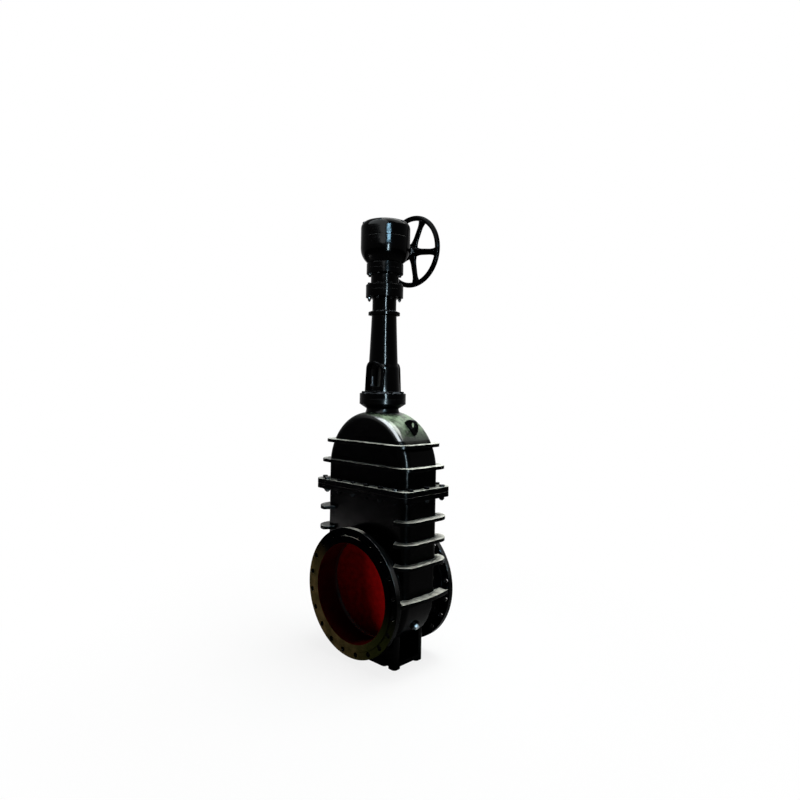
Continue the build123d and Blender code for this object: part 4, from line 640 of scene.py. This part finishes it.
# Its colour is kept very dark: partly grease, partly painted shade where it runs inside the column.
greased_steel_in_painted_shade = (0.012, 0.012, 0.011)
stainless = plain_finish(
    "greased_stainless_in_painted_shade", greased_steel_in_painted_shade, roughness=0.35, grain=90, depth=0.0002, metal=1
)
stem_bar = lathe("stem_bar", (
    (0, stem_low.z),
    (stem_tail_radius, stem_low.z),
    (stem_tail_radius, stem_tail_top),
    (stem_radius, stem_tail_top),
    (stem_radius, collar_top - collar_height),
    (collar_step_radius, collar_top - collar_height),
    (collar_radius, collar_top - collar_cone),
    (stem_radius, collar_top),
    (stem_radius, stem_thread_z - stem_run_out),
    (stem_thread_root, stem_thread_z + stem_run_out),
    (0, stem_thread_z + stem_run_out),
), steps=64)
screw_length = stem_high.z - stem_thread_z
stem_screw = thread(
    "stem_screw", stem_thread_radius, stem_pitch, screw_length, depth=0.5, steps=36, left_hand=True
)
stem_screw.data.transform(Matrix.Translation((0, 0, stem_thread_z)))
stem_piece = fuse("stem_with_thread", [stem_bar, stem_screw])
bpy.ops.object.shade_smooth_by_angle(angle=math.radians(25))
dress(stem_piece, stainless, "stem", "stem")
coat_node("gate_nut_pin", stainless)

# Stuffing box: plaited graphite rings squeezed by an iron gland, which four studs and nuts pull
# down. They are reached through the windows of the column.
graphite_grey = (0.03, 0.03, 0.03)
graphite = plain_finish(
    "plaited_graphite", graphite_grey, roughness=0.6, grain=220, depth=0.0008, metal=0.2
)
coat_node("stem_packing", graphite)
coat_node("gland", painted_casting("gland_enamel", gloss=0.25, edge=0.002))
gland_stud_low = 1.645
gland_stud_top = 1.739
gland_nut_z = 1.679
gland_circle = 0.067
gland_stud_count = 4
gland_stud_start = 45
gland_nut_corner = 0.0124
stud_radius = 0.008
stud_pitch = 0.002
stud_nut_height = 0.0128
gland_studs = set_out(
    "gland_stud_set",
    thread("gland_stud", stud_radius, stud_pitch, gland_stud_top - gland_stud_low),
    circle_places(gland_circle, gland_stud_count, gland_stud_start, gland_stud_low),
)
stud_grey = (0.015, 0.015, 0.016)
gland_steel = plain_finish(
    "stud_steel", stud_grey, roughness=0.4, grain=150, depth=0.0002, metal=1
)
dress(gland_studs, gland_steel, "valve_body", "gland_studs")
gland_nuts = set_out(
    "gland_nut_set",
    hexagon("gland_nut", gland_nut_corner, stud_nut_height, both_ends=True),
    circle_places(gland_circle, gland_stud_count, gland_stud_start, gland_nut_z),
)
dress(gland_nuts, gland_steel, "valve_body", "gland_nuts")

# Column: a long hollow iron casting that holds the gearbox up and covers the rising stem. Studs in
# the bonnet's neck stand through its foot, with a nut on each.
coat_node("column", painted_casting("column_enamel", gloss=0.09))
column_nut_z = 1.634
column_nut_corner = 0.014
column_circle = 0.127
column_end_sunk = 0.0054
column_end_length = 0.0182
ring_count = 8
ring_start = 22.5
column_ends = set_out(
    "column_stud_set",
    thread("column_stud", stud_radius, stud_pitch, column_end_length),
    circle_places(column_circle, ring_count, ring_start, column_nut_z - column_end_sunk),
)
dress(column_ends, fastener_paint, "valve_body", "column_studs")
column_nut_ring = set_out(
    "column_nut_set",
    hexagon("column_nut", column_nut_corner, stud_nut_height, both_ends=True),
    circle_places(column_circle, ring_count, ring_start, column_nut_z),
)
dress(column_nut_ring, fastener_paint, "valve_body", "column_nuts")

# Spool: a short flanged iron casting between column and gearbox. Bolts pass through its lower
# flange, and screws go up through its top flange into the gearbox foot.
coat_node("spool", painted_casting("spool_enamel", gloss=0.09))
spool_head_z = 2.310
spool_nut_z = 2.227
spool_low_circle = 0.103
spool_top_circle = 0.101
spool_bolt_radius = 0.006
spool_bolt_pitch = 0.00175
spool_end_length = 0.020
spool_end_sunk = 0.0044
spool_nut_height = 0.0096
foot_screw_z = 2.374
screw_corner = 0.0105
screw_head_height = 0.0075
spool_heads = set_out(
    "spool_heads",
    hexagon("spool_head", screw_corner, screw_head_height),
    circle_places(spool_low_circle, ring_count, ring_start, spool_head_z),
)
spool_end_z = spool_nut_z + spool_end_sunk
spool_ends = set_out(
    "spool_ends",
    thread("spool_end", spool_bolt_radius, spool_bolt_pitch, spool_end_length),
    circle_places(spool_low_circle, ring_count, ring_start, spool_end_z, turned_over=True),
)
spool_bolts = fuse("spool_bolt_set", [spool_heads, spool_ends])
dress(spool_bolts, fastener_paint, "valve_body", "spool_bolts")
spool_nut_ring = set_out(
    "spool_nut_set",
    hexagon("spool_nut", screw_corner, spool_nut_height, both_ends=True),
    circle_places(spool_low_circle, ring_count, ring_start, spool_nut_z, turned_over=True),
)
dress(spool_nut_ring, fastener_paint, "valve_body", "spool_nuts")
foot_screws = set_out(
    "foot_screw_set",
    hexagon("foot_screw", screw_corner, screw_head_height),
    circle_places(spool_top_circle, ring_count, ring_start, foot_screw_z, turned_over=True),
)
dress(foot_screws, fastener_paint, "valve_body", "gearbox_screws")

# Gearbox: a bowl and a domed cover in cast iron, painted black and held together by six sunk
# screws. Rubber rings wipe the stem above it and seal the handwheel's shaft.
coat_node("gearbox_housing", painted_casting("housing_enamel", gloss=0.09))
coat_node("gearbox_cover", painted_casting("cover_enamel", gloss=0.09))
rubber_black = (0.02, 0.02, 0.02)
rubber = plain_finish("moulded_rubber", rubber_black, roughness=0.65, grain=200, depth=0.0003)
coat_node("stem_scraper", rubber)
coat_node("shaft_seal", rubber)
cover_screw_z = 2.684
cover_screw_circle = 0.134
cover_screw_count = 6
cover_screws = set_out(
    "cover_screw_set",
    hexagon("cover_screw", screw_corner, screw_head_height),
    circle_places(cover_screw_circle, cover_screw_count, 0, cover_screw_z),
)
dress(cover_screws, fastener_paint, "valve_body", "cover_screws")

# Running gear inside the gearbox: bevel wheel, pinion, keys and roller bearings, bright where they
# are ground and dark with oil elsewhere.
oiled_grey = (0.16, 0.16, 0.17)
bright_grey = (0.40, 0.40, 0.41)
gear_iron = plain_finish(
    "oiled_gear_iron", oiled_grey, roughness=0.38, grain=80, depth=0.0004, metal=0.9
)
ground_steel = plain_finish(
    "ground_steel", bright_grey, roughness=0.25, grain=160, depth=0.0001, metal=1, spread=0.12
)
coat_node("bevel_gear", gear_iron)
for node in ("bevel_pinion", "pinion_shaft", "pinion_key", "wheel_key", "gear_key", "shaft_spacers"):
    coat_node(node, ground_steel)
for bearing in ("lower", "upper"):
    for node in ("fixed_race", "rollers", "turning_race"):
        coat_node(f"{bearing}_{node}", ground_steel)

# Pinion cartridge: a turned iron sleeve in the gearbox's side that carries the handwheel shaft,
# held by four small screws.
coat_node("pinion_cartridge", painted_casting("cartridge_enamel", edge=0.002))
shaft_z = 2.559
cartridge_face_y = 0.184
cartridge_circle = 0.039
cartridge_screw_count = 4
cartridge_screw_start = 45
cartridge_screw_corner = 0.007
cartridge_screw_height = 0.005
towards_wheel = Matrix.Rotation(-math.pi / 2, 4, "X")
cartridge_places = []
for k in range(cartridge_screw_count):
    angle = math.radians(cartridge_screw_start + 360 * k / cartridge_screw_count)
    screw_x = cartridge_circle * math.cos(angle)
    screw_z = shaft_z + cartridge_circle * math.sin(angle)
    spot = Matrix.Translation((screw_x, cartridge_face_y, screw_z))
    cartridge_places.append(spot @ towards_wheel)
cartridge_screw = hexagon("cartridge_screw", cartridge_screw_corner, cartridge_screw_height)
cartridge_screws = set_out("cartridge_screw_set", cartridge_screw, cartridge_places)
dress(cartridge_screws, fastener_paint, "valve_body", "cartridge_screws")

# Handwheel: one iron casting, painted black, with a round rim and five spokes that swell where they
# meet the rim and the hub. It is keyed on the pinion's shaft.
wheel_y = 0.247
rim_middle = 0.2155
rim_section = 0.0165
bpy.ops.object.select_all(action="DESELECT")
bpy.ops.mesh.primitive_torus_add(
    major_segments=96, minor_segments=20, major_radius=rim_middle, minor_radius=rim_section
)
wheel_rim = bpy.context.object
wheel_rim.data.transform(towards_wheel)

# A spoke swells over its first fifth, at the hub, and over its last sixth, at the rim.
spoke_count = 5
first_spoke = 65
spoke_start = 0.030
spoke_length = 0.175
spoke_width = 0.028
spoke_depth = 0.044
width_taper = 0.003
depth_taper = 0.008
hub_swell = 0.55
rim_swell = 0.7
bpy.ops.object.select_all(action="DESELECT")
bpy.ops.mesh.primitive_cube_add(size=1)
spoke = bpy.context.object
bpy.ops.object.mode_set(mode="EDIT")
bpy.ops.mesh.subdivide(number_cuts=7)
bpy.ops.object.mode_set(mode="OBJECT")
for vertex in spoke.data.vertices:
    along = vertex.co.x + 0.5
    swell = 1 + hub_swell * max(0, 1 - along * 5) + rim_swell * max(0, along * 6 - 5)
    round_off = 1 / max(1, math.hypot(vertex.co.y, vertex.co.z) / 0.5)
    vertex.co = (
        spoke_start + spoke_length * along,
        vertex.co.y * round_off * swell * (spoke_width - width_taper * along),
        vertex.co.z * round_off * swell * (spoke_depth - depth_taper * along),
    )
smooth = spoke.modifiers.new("smooth", "SUBSURF")
smooth.levels = 1
smooth.render_levels = 1
bpy.ops.object.modifier_apply(modifier="smooth")
spoke_places = []
for k in range(spoke_count):
    angle = math.radians(first_spoke + 360 * k / spoke_count)
    spoke_places.append(Matrix.Rotation(-angle, 4, "Y"))
spokes = set_out("spokes", spoke, spoke_places)

hub_radius = 0.036
hub_half = 0.022
hub_corner = 0.004
hub_bulge = 0.003
hub_band = 0.006
hub = lathe("hub", (
    (0, -hub_half),
    (hub_radius - hub_corner, -hub_half),
    (hub_radius, -hub_half + hub_corner),
    (hub_radius + hub_bulge, -hub_band),
    (hub_radius + hub_bulge, hub_band),
    (hub_radius, hub_half - hub_corner),
    (hub_radius - hub_corner, hub_half),
    (0, hub_half),
))
hub.data.transform(towards_wheel)
wheel = fuse("handwheel_casting", [wheel_rim, spokes, hub])
wheel.data.transform(Matrix.Translation((0, wheel_y, shaft_z)))
bpy.ops.object.shade_smooth_by_angle(angle=math.radians(40))
wheel_paint = painted_casting("wheel_enamel", gloss=0.12, edge=0.002, shine=0.003)
dress(wheel, wheel_paint, "handwheel", "handwheel")

# Washer and nut: steel, painted as the other fasteners are. They hold the wheel's hub on the shaft,
# whose threaded end stands out of the nut.
washer_y = 0.269
washer_radius = 0.028
washer_thickness = 0.004
washer_corner = 0.001
washer = lathe("wheel_washer_ring", (
    (0, 0),
    (washer_radius - washer_corner, 0),
    (washer_radius, washer_corner),
    (washer_radius, washer_thickness - washer_corner),
    (washer_radius - washer_corner, washer_thickness),
    (0, washer_thickness),
))
washer.data.transform(Matrix.Translation((0, washer_y, shaft_z)) @ towards_wheel)
dress(washer, fastener_paint, "handwheel", "wheel_washer")

wheel_nut_y = 0.273
wheel_nut_corner = 0.020
wheel_nut_height = 0.016
shaft_end_y = 0.281
shaft_end_radius = 0.0114
shaft_end_pitch = 0.002
shaft_end_length = 0.0155
nut_place = Matrix.Translation((0, wheel_nut_y, shaft_z)) @ towards_wheel
nut_blank = hexagon("nut_blank", wheel_nut_corner, wheel_nut_height, both_ends=True)
nut_hexagon = set_out("wheel_nut_hexagon", nut_blank, [nut_place])
end_place = Matrix.Translation((0, shaft_end_y, shaft_z)) @ towards_wheel
end_thread = thread("end_thread", shaft_end_radius, shaft_end_pitch, shaft_end_length)
shaft_end = set_out("shaft_end_thread", end_thread, [end_place])
wheel_nut = fuse("wheel_nut_and_thread", [nut_hexagon, shaft_end])
dress(wheel_nut, fastener_paint, "handwheel", "wheel_nut")
